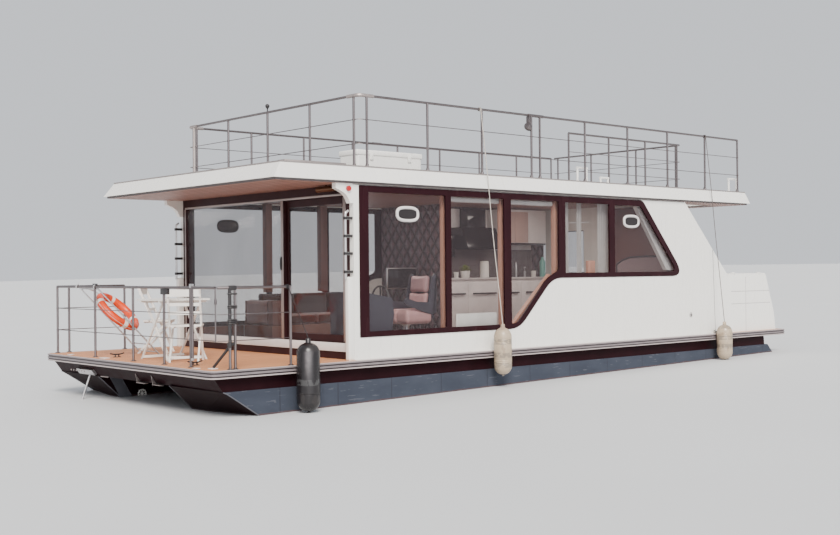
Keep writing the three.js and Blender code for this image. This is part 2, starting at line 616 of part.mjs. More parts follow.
// Engine, leg and gearcase turn about the steering axis; two collars hold the swivel's post
function motorUnit() {
  const { tiltZ, steer, postHalf, propStation, propZ } = MOTOR;
  const cowl = sidePlate([[steer - 90, 830, 60], [steer + 380, 830, 60], [steer + 400, 1240, 120],
    [steer - 60, 1300, 120]], [], -165, 165);
  const heights = [tiltZ + postHalf + GAP, tiltZ - postHalf - GAP - 50];
  const collars = heights.map((z) => rod([steer, 0, z], [steer, 0, z + 50], 36, 10));
  const neck = block(steer + 40, steer + 190, -55, 55, -180, 850);
  const links = heights.map((z) => block(steer, steer + 60, -36, 36, z, z + 50));
  const link = block(steer - 30, steer + 60, -36, 36, tiltZ + 135, 850);
  const plate = block(steer + 60, propStation + 60, -90, 90, -150, -135);
  const leg = sidePlate([[steer + 50, -140], [steer + 170, propZ - 40], [steer + 250, propZ - 40],
    [propStation - 40, -140]], [], -28, 28);
  const casing = rod([steer + 90, 0, propZ], [propStation - 50, 0, propZ], 48, 10);
  const skeg = sidePlate([[steer + 180, propZ], [steer + 230, propZ - 160], [steer + 260, propZ - 160],
    [steer + 260, propZ]], [], -8, 8);
  return join(cowl, ...collars, neck, ...links, link, plate, leg, casing, skeg);
}

// A propeller about the X axis at its hub's front face, or turned to another axis by the caller
function propeller(blades, hubRadius, hubLength, bladeRadius, chord, pitch) {
  const hub = new THREE.CylinderGeometry(hubRadius, hubRadius * 0.8, hubLength, 10).rotateZ(Math.PI / 2)
    .translate(-hubLength / 2, 0, 0);
  const pieces = [hub];
  for (let index = 0; index < blades; index += 1) {
    const blade = new THREE.BoxGeometry(8, chord, bladeRadius - hubRadius + 10)
      .translate(0, 0, (bladeRadius + hubRadius - 10) / 2).rotateZ(pitch).translate(-hubLength / 2, 0, 0)
      .rotateX(index * 2 * Math.PI / blades);
    pieces.push(blade);
  }
  return join(...pieces);
}

const motorPropeller = () => propeller(3, MOTOR.hub, 110, MOTOR.blade, 110, 0.6)
  .translate(aft(MOTOR.propStation - 50 + GAP), 0, MOTOR.propZ);

const thrusterPropeller = () => propeller(4, 24, 46, THRUSTER.bore - 6, 34, 0.7).rotateZ(Math.PI / 2)
  .translate(aft(THRUSTER.station), THRUSTER.at - THRUSTER.motorHalf - GAP, THRUSTER.z);

// Helm: console, steering wheel and seat
const HELM = { front: 2500, back: 3000, low: 1150, high: 1850, top: 1300, y: 1500, wheelStation: 3085,
  wheelZ: 1185, wheelRadius: 180 };
const STANDS = FLOOR_TOP + GAP;

function helmConsole() {
  const { front, back, low, high, top, y, wheelStation, wheelZ } = HELM;
  const body = sidePlate([[front, STANDS], [front, top, 30], [back, top - 90, 40], [back + 30, 1000],
    [back - 60, STANDS]], [], low, high);
  const shaft = rod([back - 40, y, wheelZ], [wheelStation - 30 - GAP, y, wheelZ], 18, 8);
  return join(body, shaft);
}

function steeringWheel() {
  const { wheelStation, wheelZ, wheelRadius, y } = HELM;
  const rim = new THREE.TorusGeometry(wheelRadius, 14, 6, 18).rotateY(Math.PI / 2);
  const spokes = [0, 1, 2].map((index) => new THREE.BoxGeometry(10, 26, wheelRadius)
    .translate(0, 0, wheelRadius / 2).rotateX(index * 2 * Math.PI / 3));
  const hub = new THREE.CylinderGeometry(34, 34, 60, 10).rotateZ(Math.PI / 2);
  return join(rim, ...spokes, hub).translate(aft(wheelStation), y, wheelZ);
}

// The seat stands a little inboard of the wheel and faces it
const SEAT = { front: 3380, y: 1400, half: 250, padTop: 1020, backTop: 1520 };

function helmSeat() {
  const { front, y, half, padTop, backTop } = SEAT;
  const padSide = [[front, 880, 50], [front + 480, 880, 50], [front + 480, padTop - 10, 50], [front, padTop, 50]];
  const backSide = [[front + 430, 900, 40], [front + 520, 900, 40], [front + 580, backTop, 40],
    [front + 490, backTop, 40]];
  const pad = sidePlate(padSide, [], y - half, y + half);
  const back = sidePlate(backSide, [], y - half + 15, y + half - 15);
  const post = rod([front + 250, y, STANDS + 15], [front + 250, y, 950], 40, 8);
  const base = rod([front + 250, y, STANDS], [front + 250, y, STANDS + 20], 180, 10);
  return join(pad, back, post, base);
}

// Inner walls: across at the kitchen's forward end, then along behind the kitchen
const PARTITION = { station: 6050, y: -1050, thick: 40 };
// Kitchen along the inner wall: base units, splash back and wall cupboards
const KITCHEN = { front: PARTITION.station + PARTITION.thick + GAP, back: 8800, face: -450, top: 1410,
  cupFront: 7660, cupFoot: 2045, cupDepth: 370, head: 2640 };

function partition() {
  const top = SOFFIT_UNDER - GAP;
  const { station, y, thick } = PARTITION;
  return join(block(station, station + thick, -2040, KITCHEN.face, STANDS, top),
    block(station, BULKHEAD.front - GAP, y - thick, y, STANDS, top));
}

function kitchen() {
  const { front, back, face, top, cupFront, cupFoot, cupDepth, head } = KITCHEN;
  const wall = PARTITION.y + GAP;
  const base = block(front, back, wall, face, STANDS, top);
  const splash = block(front, back, wall, wall + 20, top - 5, head);
  const cups = block(cupFront, back, wall, wall + cupDepth, cupFoot, head);
  return join(base, splash, cups);
}

// Sofa and berth stand along the starboard side
const BED_SIDE = -2030;

const SOFA = { front: 3200, back: 5400, face: -1250, seatTop: 900, armTop: 1140, top: 1240 };

function sofa() {
  const { front, back, face, seatTop, armTop, top } = SOFA;
  const seat = block(front, back, BED_SIDE, face, STANDS, seatTop);
  const arm = block(front, front + 200, BED_SIDE, face, STANDS, armTop);
  const rest = block(front, back, BED_SIDE, -1850, seatTop - 10, top);
  return join(seat, arm, rest);
}

function berth() {
  const inner = PARTITION.y - PARTITION.thick - 20;
  const bed = block(6900, 9140, BED_SIDE, inner, STANDS, 1050);
  const head = block(9080, 9140, BED_SIDE, inner, 1000, 1500);
  return join(bed, head);
}

// Terrace table: slatted top on crossed legs
const TABLE = { front: 340, back: 1040, low: -160, high: 520, top: 1235 };

function terraceTable() {
  const { front, back, low, high, top } = TABLE;
  const foot = DECK_TOP + GAP;
  const pieces = [];
  const slats = 6;
  const pitch = (back - front) / slats;
  for (let index = 0; index < slats; index += 1) {
    const start = front + index * pitch;
    pieces.push(block(start, start + pitch - 12, low, high, top - 22, top));
  }
  [low + 90, high - 110].forEach((y) => {
    pieces.push(block(front, back - 12, y, y + 24, top - 50, top - 20));
  });
  [front + 60, back - 90].forEach((station) => {
    pieces.push(bar([station, low + 20, foot], [station, high - 100, top - 40], 30, 22));
    pieces.push(bar([station + 22, high - 20, foot], [station + 22, low + 100, top - 40], 30, 22));
  });
  [low + 60, high - 60].forEach((y) => {
    pieces.push(block(front + 50, back - 50, y - 15, y + 15, foot + 20, foot + 50));
  });
  return join(...pieces);
}

// A flat bar between two points that stands in a plane across the boat; its ends are level
function bar(from, to, width, thick) {
  const shape = [[from[1] - width / 2, from[2]], [from[1] + width / 2, from[2]], [to[1] + width / 2, to[2]],
    [to[1] - width / 2, to[2]]];
  return crossPlate(shape, [], from[0] - thick / 2, from[0] + thick / 2);
}

// Folding chair in its own frame: it faces +u, v runs across, built as a cross plate turned about Z
const CHAIR = { width: 420, depth: 430, seat: 460, back: 920, bar: 24 };

function foldingChair(station, y, heading) {
  const { width, depth, seat, back, bar } = CHAIR;
  const pieces = [];
  const side = (v, points) => {
    const geometry = new THREE.ExtrudeGeometry(outline(points), { depth: bar, bevelEnabled: false });
    pieces.push(geometry.rotateX(Math.PI / 2).translate(0, v + bar, 0));
  };
  const backLeg = [[depth - 60, 0], [depth - 25, 0], [5, back], [-30, back]];
  const frontLeg = [[-40, 0], [-5, 0], [depth - 10, seat], [depth - 50, seat]];
  const edge = width / 2 - bar;
  side(-width / 2, backLeg);
  side(edge, backLeg);
  side(-width / 2 + bar - 2, frontLeg);
  side(edge - bar + 2, frontLeg);
  for (let index = 0; index < 4; index += 1) {
    const u = 60 + index * 95;
    pieces.push(new THREE.BoxGeometry(80, width, 20).translate(u + 30, 0, seat - 8));
  }
  [-1, 1].forEach((hand) => {
    pieces.push(new THREE.BoxGeometry(370, 20, 20).translate(235, hand * (width / 2 - 70), seat - 26));
  });
  [610, 720, 865].forEach((z, index) => {
    const height = index === 2 ? 90 : 40;
    const lean = depth - 42 - (z / back) * (depth - 30);
    pieces.push(new THREE.BoxGeometry(20, width, height).translate(lean, 0, z));
  });
  pieces.push(new THREE.BoxGeometry(24, width, 30).translate(30, 0, 60));
  return join(...pieces).rotateZ(heading).translate(aft(station), y, DECK_TOP + GAP);
}

// Fenders on lines: each rests against the rub rail; tied is the place on the rail that its line hangs from
const FENDERS = [
  { name: 'bow', station: 1240, top: 780, length: 870, radius: 141,
    tied: [1085, BOW.side, BOW_RAIL_TOP] },
  { name: 'side', station: 4560, top: 825, length: 700, radius: 125,
    tied: [4420, ROOF_RAIL.side, ROOF_RAIL_TOP] },
  { name: 'aft', station: 9900, top: 665, length: 640, radius: 130,
    tied: [9780, ROOF_RAIL.side, ROOF_RAIL_TOP] },
];
const LINE_RADIUS = 6;
const fenderY = (radius) => RAIL_HALF + radius + GAP;

function fender({ station, top, length, radius }) {
  const bottom = top - length;
  const profile = [[0, bottom], [0.3, bottom + 4], [0.8, bottom + 60], [1, bottom + 150],
    [1, top - 170], [0.75, top - 85], [0.32, top - 40], [0.28, top], [0, top]];
  const points = profile.map(([part, z]) => new THREE.Vector2(part * radius, z));
  return new THREE.LatheGeometry(points, 14).rotateX(Math.PI / 2).translate(aft(station), fenderY(radius), 0);
}

// A line from the rail, past the roof's edge where there is one, down to the fender's eye
function fenderLine({ station, top, radius, tied: [from, y, z] }) {
  const start = [from, y + TUBE.top + LINE_RADIUS + GAP, z];
  const over = z > ROOF_TOP ? roofEdge(from + (station - from) * 0.36) : [];
  const last = over.length ? over[over.length - 1] : start;
  const side = Math.hypot(station - last[0], fenderY(radius) - last[1]);
  const lean = side / Math.hypot(side, last[2] - top);
  const end = [station, fenderY(radius), top + GAP + 1.3 * LINE_RADIUS * lean];
  const points = [start, ...over, end].map((point) => new THREE.Vector3(aft(point[0]), point[1], point[2]));
  const path = new THREE.CatmullRomCurve3(points, false, 'chordal');
  const section = new THREE.Shape();
  section.absarc(0, 0, LINE_RADIUS, 0, 2 * Math.PI);
  const steps = 12 * over.length + 6;
  const settings = { steps, curveSegments: 4, extrudePath: path, bevelEnabled: false };
  return new THREE.ExtrudeGeometry(section, settings);
}

// The line bends where it leaves the roof's lower edge
const roofEdge = (station) => [[station, 2199 + LINE_RADIUS + 1, ROOF_UNDER + 2],
  [station + 12, 2226, ROOF_UNDER - 300]];

// Side lights on the outer face of the brackets
const LIGHT = { station: 2046, z: 2605, radius: 34, proud: 28 };

function sideLight(side) {
  const { station, z, radius, proud } = LIGHT;
  const foot = side * (WALL_OUT + GAP);
  return rod([station, foot, z], [station, foot + side * proud, z], radius, 12);
}

// Horn lamp across the boat on a short stem under the soffit
const HORN = { station: 2000, low: 1570, high: 1930, z: 2618, radius: 40 };

function hornLamp() {
  const { station, low, high, z, radius } = HORN;
  const middle = (low + high) / 2;
  return join(rod([station, low, z], [station, high, z], radius, 12),
    rod([station, middle, z], [station, middle, SOFFIT_UNDER - GAP], 12, 6));
}

// Folding ladder on the raked bow: a pole hangs from a bracket, with its treads folded up beside it
const LADDER = { low: -1470, high: -1000, top: 285, foot: 215, thick: 30, pole: -1150, tip: [30, -160] };

function boardingLadder() {
  const { low, high, top, foot, thick, pole, tip } = LADDER;
  const face = (z) => 80 + (DECK_UNDER - GAP - z) * 125 / (DECK_UNDER - GAP - BRIDGE_UNDER) - GAP;
  const shape = [[face(top), top], [face(foot), foot], [face(foot) - thick, foot - 15],
    [face(top) - thick, top - 15]];
  const bracket = sidePlate(shape, [], low, high);
  return join(bracket, rod([face(foot) - 22, pole, foot], [tip[0], pole, tip[1]], 14, 8));
}

const cabinFloor = () => block(FRONT.inner + GAP, BULKHEAD.front - GAP, -WALL_IN + GLASS_THICK,
  WALL_IN - GLASS_THICK, DECK_TOP + GAP, FLOOR_TOP);

const PORT = 1;
const STARBOARD = -1;

addPiece('float_port', floatHull(PORT), 'hull');
addPiece('float_starboard', floatWithThruster(), 'hull');
addPiece('bridge_hull', bridgeHull(), 'dark');
addPiece('deck', deckSlab(), 'deck');
addPiece('rub_rail', rubRail(), 'grey');
addPiece('cabin_floor', cabinFloor(), 'wood');
for (const [word, side] of [['port', PORT], ['starboard', STARBOARD]]) {
  addPiece(`cabin_side_${word}`, cabinSide(side), 'white');
  addPiece(`window_frame_${word}`, windowFrame(side), 'dark');
  addPiece(`window_glass_${word}`, windowGlass(side), 'glass');
  addPiece(`stern_locker_${word}`, sternLocker(side), 'white');
  addPiece(`locker_lid_${word}`, lockerLid(side), 'white');
  addPiece(`side_light_${word}`, sideLight(side), 'dark');
}
addPiece('cabin_front_frame', cabinFrontFrame(), 'dark');
addPiece('cabin_front_glass', fixedGlass(), 'glass');
addPiece('sliding_door_frame', slidingDoorFrame(), 'dark');
addPiece('sliding_door_glass', slidingDoorGlass(), 'glass');
addPiece('aft_bulkhead', aftBulkhead(), 'white');
addPiece('aft_door', aftDoor(), 'white');
addPiece('roof', roofSlab(), 'white');
addPiece('soffit', soffit(), 'wood');
addPiece('roof_rail_front', roofRailFront(), 'steel');
addPiece('roof_rail_port', roofRailSide(PORT, PORT_POSTS, ROOF_RAIL.back), 'steel');
addPiece('roof_rail_starboard', roofRailSide(STARBOARD, STARBOARD_POSTS, ROOF_RAIL.back - 210), 'steel');
addPiece('roof_rail_aft', roofRailAft(), 'steel');
addPiece('roof_chest', roofChest(), 'white');
addPiece('stair', stair(), 'white');
addPiece('bow_rail_front', bowRailFront(), 'steel');
addPiece('bow_rail_port', join(bowRailSide(PORT, BOW_PORT_POSTS[0], BOW_PORT_POSTS), bowCorner()), 'steel');
addPiece('bow_rail_starboard', bowRailSide(STARBOARD, 195, BOW_STARBOARD_POSTS), 'steel');
addPiece('bow_gate', bowGate(), 'steel');
addPiece('motor_bracket', motorBracket(), 'dark');
addPiece('motor_swivel', motorSwivel(), 'dark');
addPiece('motor_unit', motorUnit(), 'dark');
addPiece('motor_propeller', motorPropeller(), 'steel');
addPiece('thruster_propeller', thrusterPropeller(), 'dark');
addPiece('helm_console', helmConsole(), 'fabric');
addPiece('steering_wheel', steeringWheel(), 'dark');
addPiece('helm_seat', helmSeat(), 'fabric');
addPiece('kitchen', kitchen(), 'white');
addPiece('partition', partition(), 'wood');
addPiece('sofa', sofa(), 'fabric');
addPiece('berth', berth(), 'fabric');
addPiece('terrace_table', terraceTable(), 'white');
addPiece('terrace_chair_port', foldingChair(500, 765, -2.2), 'white');
addPiece('terrace_chair_starboard', foldingChair(1016, -1267, 2.42), 'white');
addPiece('lifebuoy', lifebuoy(), 'orange');
addPiece('horn_lamp', hornLamp(), 'steel');
addPiece('boarding_ladder', boardingLadder(), 'steel');
for (const each of FENDERS) {
  addPiece(`fender_${each.name}`, fender(each), each.name === 'bow' ? 'rubber' : 'white');
  addPiece(`fender_line_${each.name}`, fenderLine(each), 'rope');
}

export default boat;
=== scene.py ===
# %% [markdown]
# # Dressing a houseboat over its fixed frame
# The hull, cabin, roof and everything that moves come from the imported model.
# Here they get their finishes, and the fine pieces that make them look real.
# Lengths are metres: x runs to the bow, y to port, z up, and z = 0 is the water.
# Places along the boat are given as on a builder's drawing, in metres aft of the deck's front edge.
# %% Load the frame
import math
import random

import bmesh
import bpy
from mathutils import Matrix, Vector


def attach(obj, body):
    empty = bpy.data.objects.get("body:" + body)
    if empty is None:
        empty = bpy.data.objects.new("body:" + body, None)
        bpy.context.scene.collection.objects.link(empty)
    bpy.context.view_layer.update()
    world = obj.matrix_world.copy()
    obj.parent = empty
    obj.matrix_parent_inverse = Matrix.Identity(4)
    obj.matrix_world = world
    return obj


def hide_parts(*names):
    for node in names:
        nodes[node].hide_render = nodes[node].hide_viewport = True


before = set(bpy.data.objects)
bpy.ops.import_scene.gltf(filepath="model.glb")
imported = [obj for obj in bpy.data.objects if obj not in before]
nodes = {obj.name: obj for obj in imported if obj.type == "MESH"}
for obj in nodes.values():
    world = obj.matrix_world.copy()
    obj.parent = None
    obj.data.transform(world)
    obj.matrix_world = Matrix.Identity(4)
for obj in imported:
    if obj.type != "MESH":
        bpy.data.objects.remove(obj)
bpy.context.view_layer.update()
DECK_FRONT = 6.0


def station(distance):
    """x of a place that many metres aft of the deck's front edge."""
    return DECK_FRONT - distance


def at(distance, y, z):
    """The point that many metres aft of the deck's front edge."""
    return Vector((station(distance), y, z))


def word(side):
    """How a piece on that side is named; 1 is port, -1 starboard."""
    return "port" if side > 0 else "starboard"


print("nodes in the frame:", len(nodes))

# %% [markdown]
# ## Camera
# The picture was taken from a low boat or jetty off the port bow.
# The camera stands there, a little over eye height above the water, and its axes
# are built from the heading, the pitch and a slight roll, so no aiming is needed.
# %% Place the camera
EYE = Vector((12.825, 13.493, 1.556))
HEADING, PITCH, ROLL = (math.radians(angle) for angle in (48.444, 0.199, -0.559))
LENS = 49.255


def camera_axes(heading, pitch, roll):
    """Right, up and forward directions of a level camera that is then pitched and rolled."""
    ahead = Vector((-math.cos(heading), -math.sin(heading), 0))
    right = ahead.cross(Vector((0, 0, 1)))
    forward = ahead * math.cos(pitch) + Vector((0, 0, math.sin(pitch)))
    up = -ahead * math.sin(pitch) + Vector((0, 0, math.cos(pitch)))
    return (right * math.cos(roll) + up * math.sin(roll),
            up * math.cos(roll) - right * math.sin(roll), forward)


right, up, forward = camera_axes(HEADING, PITCH, ROLL)
camera = bpy.data.objects.new("camera", bpy.data.cameras.new("camera"))
bpy.context.scene.collection.objects.link(camera)
camera.data.sensor_width = 36
camera.data.lens = LENS
camera.data.clip_end = 500
camera.matrix_world = Matrix((right, up, -forward)).transposed().to_4x4()
camera.location = EYE
bpy.context.scene.camera = camera
print("camera looks along", tuple(round(part, 3) for part in forward))

# %% [markdown]
# ## Shader arithmetic
# A finish is easier to read as a sum than as a drawing of nodes.
# One small class wraps an output of a node, and adds the Math nodes for + - and *.
# %% A socket that can be calculated with


def feed(tree, entry, value):
    """Links an amount to a socket, or sets a plain value on it."""
    if isinstance(value, Amount):
        tree.links.new(value.socket, entry)
    else:
        entry.default_value = value


class Amount:
    """A number that changes over a surface."""

    def __init__(self, tree, socket):
        self.tree = tree
        self.socket = socket

    def math(self, operation, *values):
        node = self.tree.nodes.new("ShaderNodeMath")
        node.operation = operation
        for entry, value in zip(node.inputs, values):
            feed(self.tree, entry, value)
        return Amount(self.tree, node.outputs[0])

    def __add__(self, other):
        return self.math("ADD", self, other)

    def __sub__(self, other):
        return self.math("SUBTRACT", self, other)

    def __mul__(self, other):
        return self.math("MULTIPLY", self, other)

    def __rsub__(self, other):
        return self.math("SUBTRACT", other, self)

    __radd__ = __add__
    __rmul__ = __mul__

    def above(self, limit):
        return self.math("GREATER_THAN", self, limit)

    def below(self, limit):
        return self.math("LESS_THAN", self, limit)

    def repeat(self, pitch):
        """Distance past the last whole multiple of pitch."""
        return self.math("FLOORED_MODULO", self, pitch)

    def size(self):
        return self.math("ABSOLUTE", self)

    def larger(self, other):
        return self.math("MAXIMUM", self, other)

    def smaller(self, other):
        return self.math("MINIMUM", self, other)

    def whole(self):
        return self.math("FLOOR", self)


# %% [markdown]
# ## A finish
# A finish is a Principled shader and the pattern that feeds it.
# What is the same all over is set on the shader itself; what changes comes from noise,
# grooves and masks in Object coordinates, so that it stays put when the piece is seen from elsewhere.
# %% The finish class


class Finish:
    """A material with one Principled shader."""

    def __init__(self, name, colour, roughness, metallic=0.0, coat=0.0):
        self.material = bpy.data.materials.new(name)
        self.material.use_nodes = True
        self.tree = self.material.node_tree
        self.shader = self.tree.nodes["Principled BSDF"]
        self.set("Base Color", (*colour, 1))
        self.set("Roughness", roughness)
        self.set("Metallic", metallic)
        self.set("Coat Weight", coat)
        self.colour = colour

    def set(self, name, value):
        feed(self.tree, self.shader.inputs[name], value)

    def node(self, kind, output=0, **values):
        """Adds a node with the values or links of its sockets, and gives one of its outputs."""
        node = self.tree.nodes.new(kind)
        for name, value in values.items():
            feed(self.tree, node.inputs[name.replace("_", " ")], value)
        return Amount(self.tree, node.outputs[output])

    def place(self):
        return self.node("ShaderNodeTexCoord", output="Object")

    def parts(self, output):
        """The three numbers of one of the Texture Coordinate node's vectors."""
        split = self.node("ShaderNodeSeparateXYZ", Vector=self.node("ShaderNodeTexCoord", output=output))
        return [Amount(self.tree, socket) for socket in split.socket.node.outputs]

    def axes(self):
        """x, y and z of the point on the piece, in metres."""
        return self.parts("Object")

    def facing(self):
        """x, y and z of the surface's own outward direction."""
        return self.parts("Normal")

    def noise(self, scale, detail=3.0, stretch=(1, 1, 1)):
        spot = self.node("ShaderNodeMapping", Vector=self.place(), Scale=stretch)
        return self.node("ShaderNodeTexNoise", Vector=spot, Scale=scale, Detail=detail)

    def cells(self, scale):
        return self.node("ShaderNodeTexVoronoi", Vector=self.place(), Scale=scale)

    def blend(self, factor, first, second):
        """Colour between first and second; each is three numbers or an earlier blend."""
        node = self.tree.nodes.new("ShaderNodeMix")
        node.data_type = "RGBA"
        entries = (node.inputs["Factor"], node.inputs[6], node.inputs[7])
        for entry, value in zip(entries, (factor, first, second)):
            feed(self.tree, entry, (*value, 1) if isinstance(value, tuple) else value)
        return Amount(self.tree, node.outputs[2])

    def shade(self, amount, low, high):
        """The finish's own colour made darker and lighter as amount goes from 0 to 1."""
        dark = tuple(part * low for part in self.colour)
        light = tuple(min(1, part * high) for part in self.colour)
        return self.blend(amount, dark, light)

    def bump(self, height, depth, strength=1.0):
        node = self.node("ShaderNodeBump", Height=height, Distance=depth, Strength=strength)
        self.set("Normal", node)


finishes = {}


def keep(finish):
    finishes[finish.material.name] = finish.material
    return finish


print("finish class ready")

# %% [markdown]
# ## Gelcoat and lacquer
# The cabin is moulded in white gelcoat: glossy, faintly wavy, with rain streaks that run down.
# The window band and the upper hull are dark lacquer, which shows dust more than colour.
# Stretched noise gives the streaks, because it is long in the one direction that water runs.
# %% White gelcoat and dark lacquer
GROOVE_PLACE, GROOVE_TOP = 10.9, 1.41
GROOVE_HEIGHTS, GROOVE_SPAN = (1.155, 0.94), (10.45, 11.68)


def locker_grooves(finish):
    """The lines pressed into the locker's side: one upright, two level."""
    x, _, z = finish.axes()
    _, sideways, _ = finish.facing()
    upright_line = (x - station(GROOVE_PLACE)).size().below(0.007) * z.below(GROOVE_TOP)
    upper, lower = [(z - height).size() for height in GROOVE_HEIGHTS]
    level_line = upper.smaller(lower).below(0.006)
    span = x.below(station(GROOVE_SPAN[0])) * x.above(station(GROOVE_SPAN[1]))
    return upright_line.larger(level_line * span) * sideways.size().above(0.9)


def gelcoat(name, colour, streak=0.06, grooves=None):
    finish = keep(Finish(name, colour, 0.28, coat=0.35))
    broad = finish.noise(0.9, 2.0)
    streaks = finish.noise(9.0, 4.0, (1, 1, 0.06))
    wear = broad * 0.5 + streaks * 0.5
    skin = finish.shade(wear, 1 - streak, 1 + streak * 0.6)
    height = finish.noise(6.0, 1.0) + finish.noise(420.0, 1.0) * 0.06
    if grooves:
        line = grooves(finish)
        # Painted shade: the grooves are painted darker, as well as pressed in by the bump.
        skin = finish.blend(line * 0.7, skin, (0.3, 0.27, 0.26))
        height = height - line
    finish.set("Base Color", skin)
    finish.set("Roughness", streaks * 0.16 + 0.2)
    finish.bump(height, 0.004, 0.35)
    return finish


def lacquer(name, colour, roughness=0.2, shine=0.25):
    """Shine is how strongly the surface mirrors: low, because dust and weather dull dark paint."""
    finish = keep(Finish(name, colour, roughness))
    finish.set("Specular IOR Level", shine)
    dust = finish.noise(5.0, 5.0, (1, 1, 0.25))
    finish.set("Base Color", finish.shade(dust, 0.7, 1.6))
    finish.set("Roughness", dust * 0.22 + roughness - 0.08)
    finish.bump(finish.noise(300.0, 2.0), 0.0006, 0.3)
    return finish


white_gelcoat = gelcoat("white_gelcoat", (0.86, 0.84, 0.79))
roof_gelcoat = gelcoat("roof_gelcoat", (0.83, 0.81, 0.77))
locker_gelcoat = gelcoat("locker_gelcoat", (0.88, 0.86, 0.81), 0.06, locker_grooves)
window_lacquer = lacquer("window_lacquer", (0.017, 0.004, 0.006), 0.22, 0.1)
frame_lacquer = lacquer("frame_lacquer", (0.026, 0.008, 0.009), 0.3, 0.15)
hull_lacquer = lacquer("hull_lacquer", (0.013, 0.0035, 0.005), 0.42, 0.05)
print("finishes so far:", sorted(finishes))

# %% [markdown]
# ## Floats
# The floats are welded from plates: dull blue-grey along the sides; at the bow and between them, where they
# stand in shade, they are painted near black as painted shade.
# Each plate joint is a fine upright line, and a band of scum marks the water,
# which slopes a little against the hull because the bow floats high.
# Masks on the surface's own direction and on x keep one finish for the whole float.
# %% Welded float plates
PLATE_PITCH = 0.868
PLATE_START = 0.628
WATER_AMIDSHIPS = -0.04
BOW_UP = 0.0145


def float_plates():
    finish = keep(Finish("float_plates", (0.1, 0.12, 0.16), 0.45))
    finish.set("Specular IOR Level", 0.05)
    x, y, z = finish.axes()
    _, sideways, _ = finish.facing()
    side = sideways.size().above(0.93) * y.size().above(2.0)
    seam = ((x + PLATE_START).repeat(PLATE_PITCH) - PLATE_PITCH / 2).size().below(0.006)
    blotch = finish.noise(2.2, 5.0, (1, 1, 2.2))
    plate = finish.blend(blotch, (0.026, 0.031, 0.043), (0.062, 0.07, 0.092))
    plate = finish.blend(finish.noise(12.0, 3.0, (0.4, 1, 3)).above(0.66) * 0.5, plate, (0.11, 0.115, 0.135))
    plate = finish.blend(seam * 0.75, plate, (0.03, 0.03, 0.04))
    # Painted shade: every face but the outer sides, the bow faces and those between the floats, is painted
    # near black.
    dark = finish.blend(blotch, (0.007, 0.0018, 0.0025), (0.014, 0.004, 0.0055))
    colour = finish.blend(side, dark, plate)
    above_water = z + x * BOW_UP - WATER_AMIDSHIPS
    scum = (above_water + finish.noise(7.0, 3.0) * 0.03).below(0.035)
    finish.set("Base Color", finish.blend(scum * 0.7, colour, (0.09, 0.055, 0.055)))
    finish.set("Roughness", blotch * 0.3 + 0.35)
    finish.bump(blotch * 0.5 - seam, 0.004, 0.5)
    return finish


float_finish = float_plates()

# %% [markdown]
# ## Decks
# The terrace is laid with narrow synthetic teak planks that run fore and aft,
# with dark rubber between them. The ceiling under the roof has broader brown boards across.
# Both are a repeated groove, a tone for each board, and grain stretched along it.
# %% Planked finishes


def planks(name, colour, pitch, groove, axis, roughness, spread=0.3, rim=None):
    """Boards side by side along axis 0 (x) or 1 (y), the grain along the other; rim colours the edges."""
    finish = keep(Finish(name, colour, roughness))
    place = finish.axes()
    across = place[axis]
    gap = across.repeat(pitch).below(groove)
    number = (across * (1 / pitch)).whole()
    tone = (number * 0.618).repeat(1.0)
    stretch = (14, 0.5, 1) if axis == 0 else (0.5, 14, 1)
    grain = finish.noise(5.0, 6.0, stretch)
    wood = finish.shade(tone * spread + grain * (1 - spread), 0.72, 1.28)
    dark = tuple(part * 0.18 for part in colour)
    wood = finish.blend(gap, wood, dark)
    if rim:
        _, _, upward = finish.facing()
        wood = finish.blend(upward.size().below(0.5), wood, rim)
    finish.set("Base Color", wood)
    finish.set("Roughness", grain * 0.25 + roughness - 0.1)
    finish.bump(grain * 0.25 - gap, 0.003, 0.5)
    return finish


deck_planks = planks("deck_planks", (0.58, 0.25, 0.11), 0.09, 0.008, 1, 0.6)
ceiling_boards = planks("ceiling_boards", (0.36, 0.185, 0.145), 0.14, 0.024, 0, 0.5,
                        rim=(0.09, 0.075, 0.075))
floor_boards = planks("floor_boards", (0.2, 0.12, 0.08), 0.16, 0.003, 1, 0.45)
print("planked finishes:", [name for name in finishes if "board" in name or "plank" in name])

# %% [markdown]
# ## Metals
# Rails are ground stainless steel, slightly brown with weather, with fine scratches.
# Cast and painted alloy is duller and has a grain like fine sand.
# %% Steel, alloy and paint


def brushed(name, colour, roughness, scratch=0.25):
    finish = keep(Finish(name, colour, roughness, metallic=1.0))
    lines = finish.noise(60.0, 4.0, (1, 1, 0.15))
    stain = finish.noise(3.0, 3.0)
    finish.set("Base Color", finish.shade(stain, 0.78, 1.15))
    finish.set("Roughness", lines * scratch + roughness)
    finish.bump(lines, 0.0005, 0.3)
    return finish


def cast(name, colour, roughness, metallic=0.0, grain=350.0, depth=0.0008):
    finish = keep(Finish(name, colour, roughness, metallic=metallic))
    speck = finish.noise(grain, 2.0)
    broad = finish.noise(3.5, 4.0)
    finish.set("Base Color", finish.shade(broad * 0.7 + speck * 0.3, 0.75, 1.25))
    finish.set("Roughness", broad * 0.2 + roughness - 0.1)
    finish.bump(speck, depth, 0.5)
    return finish


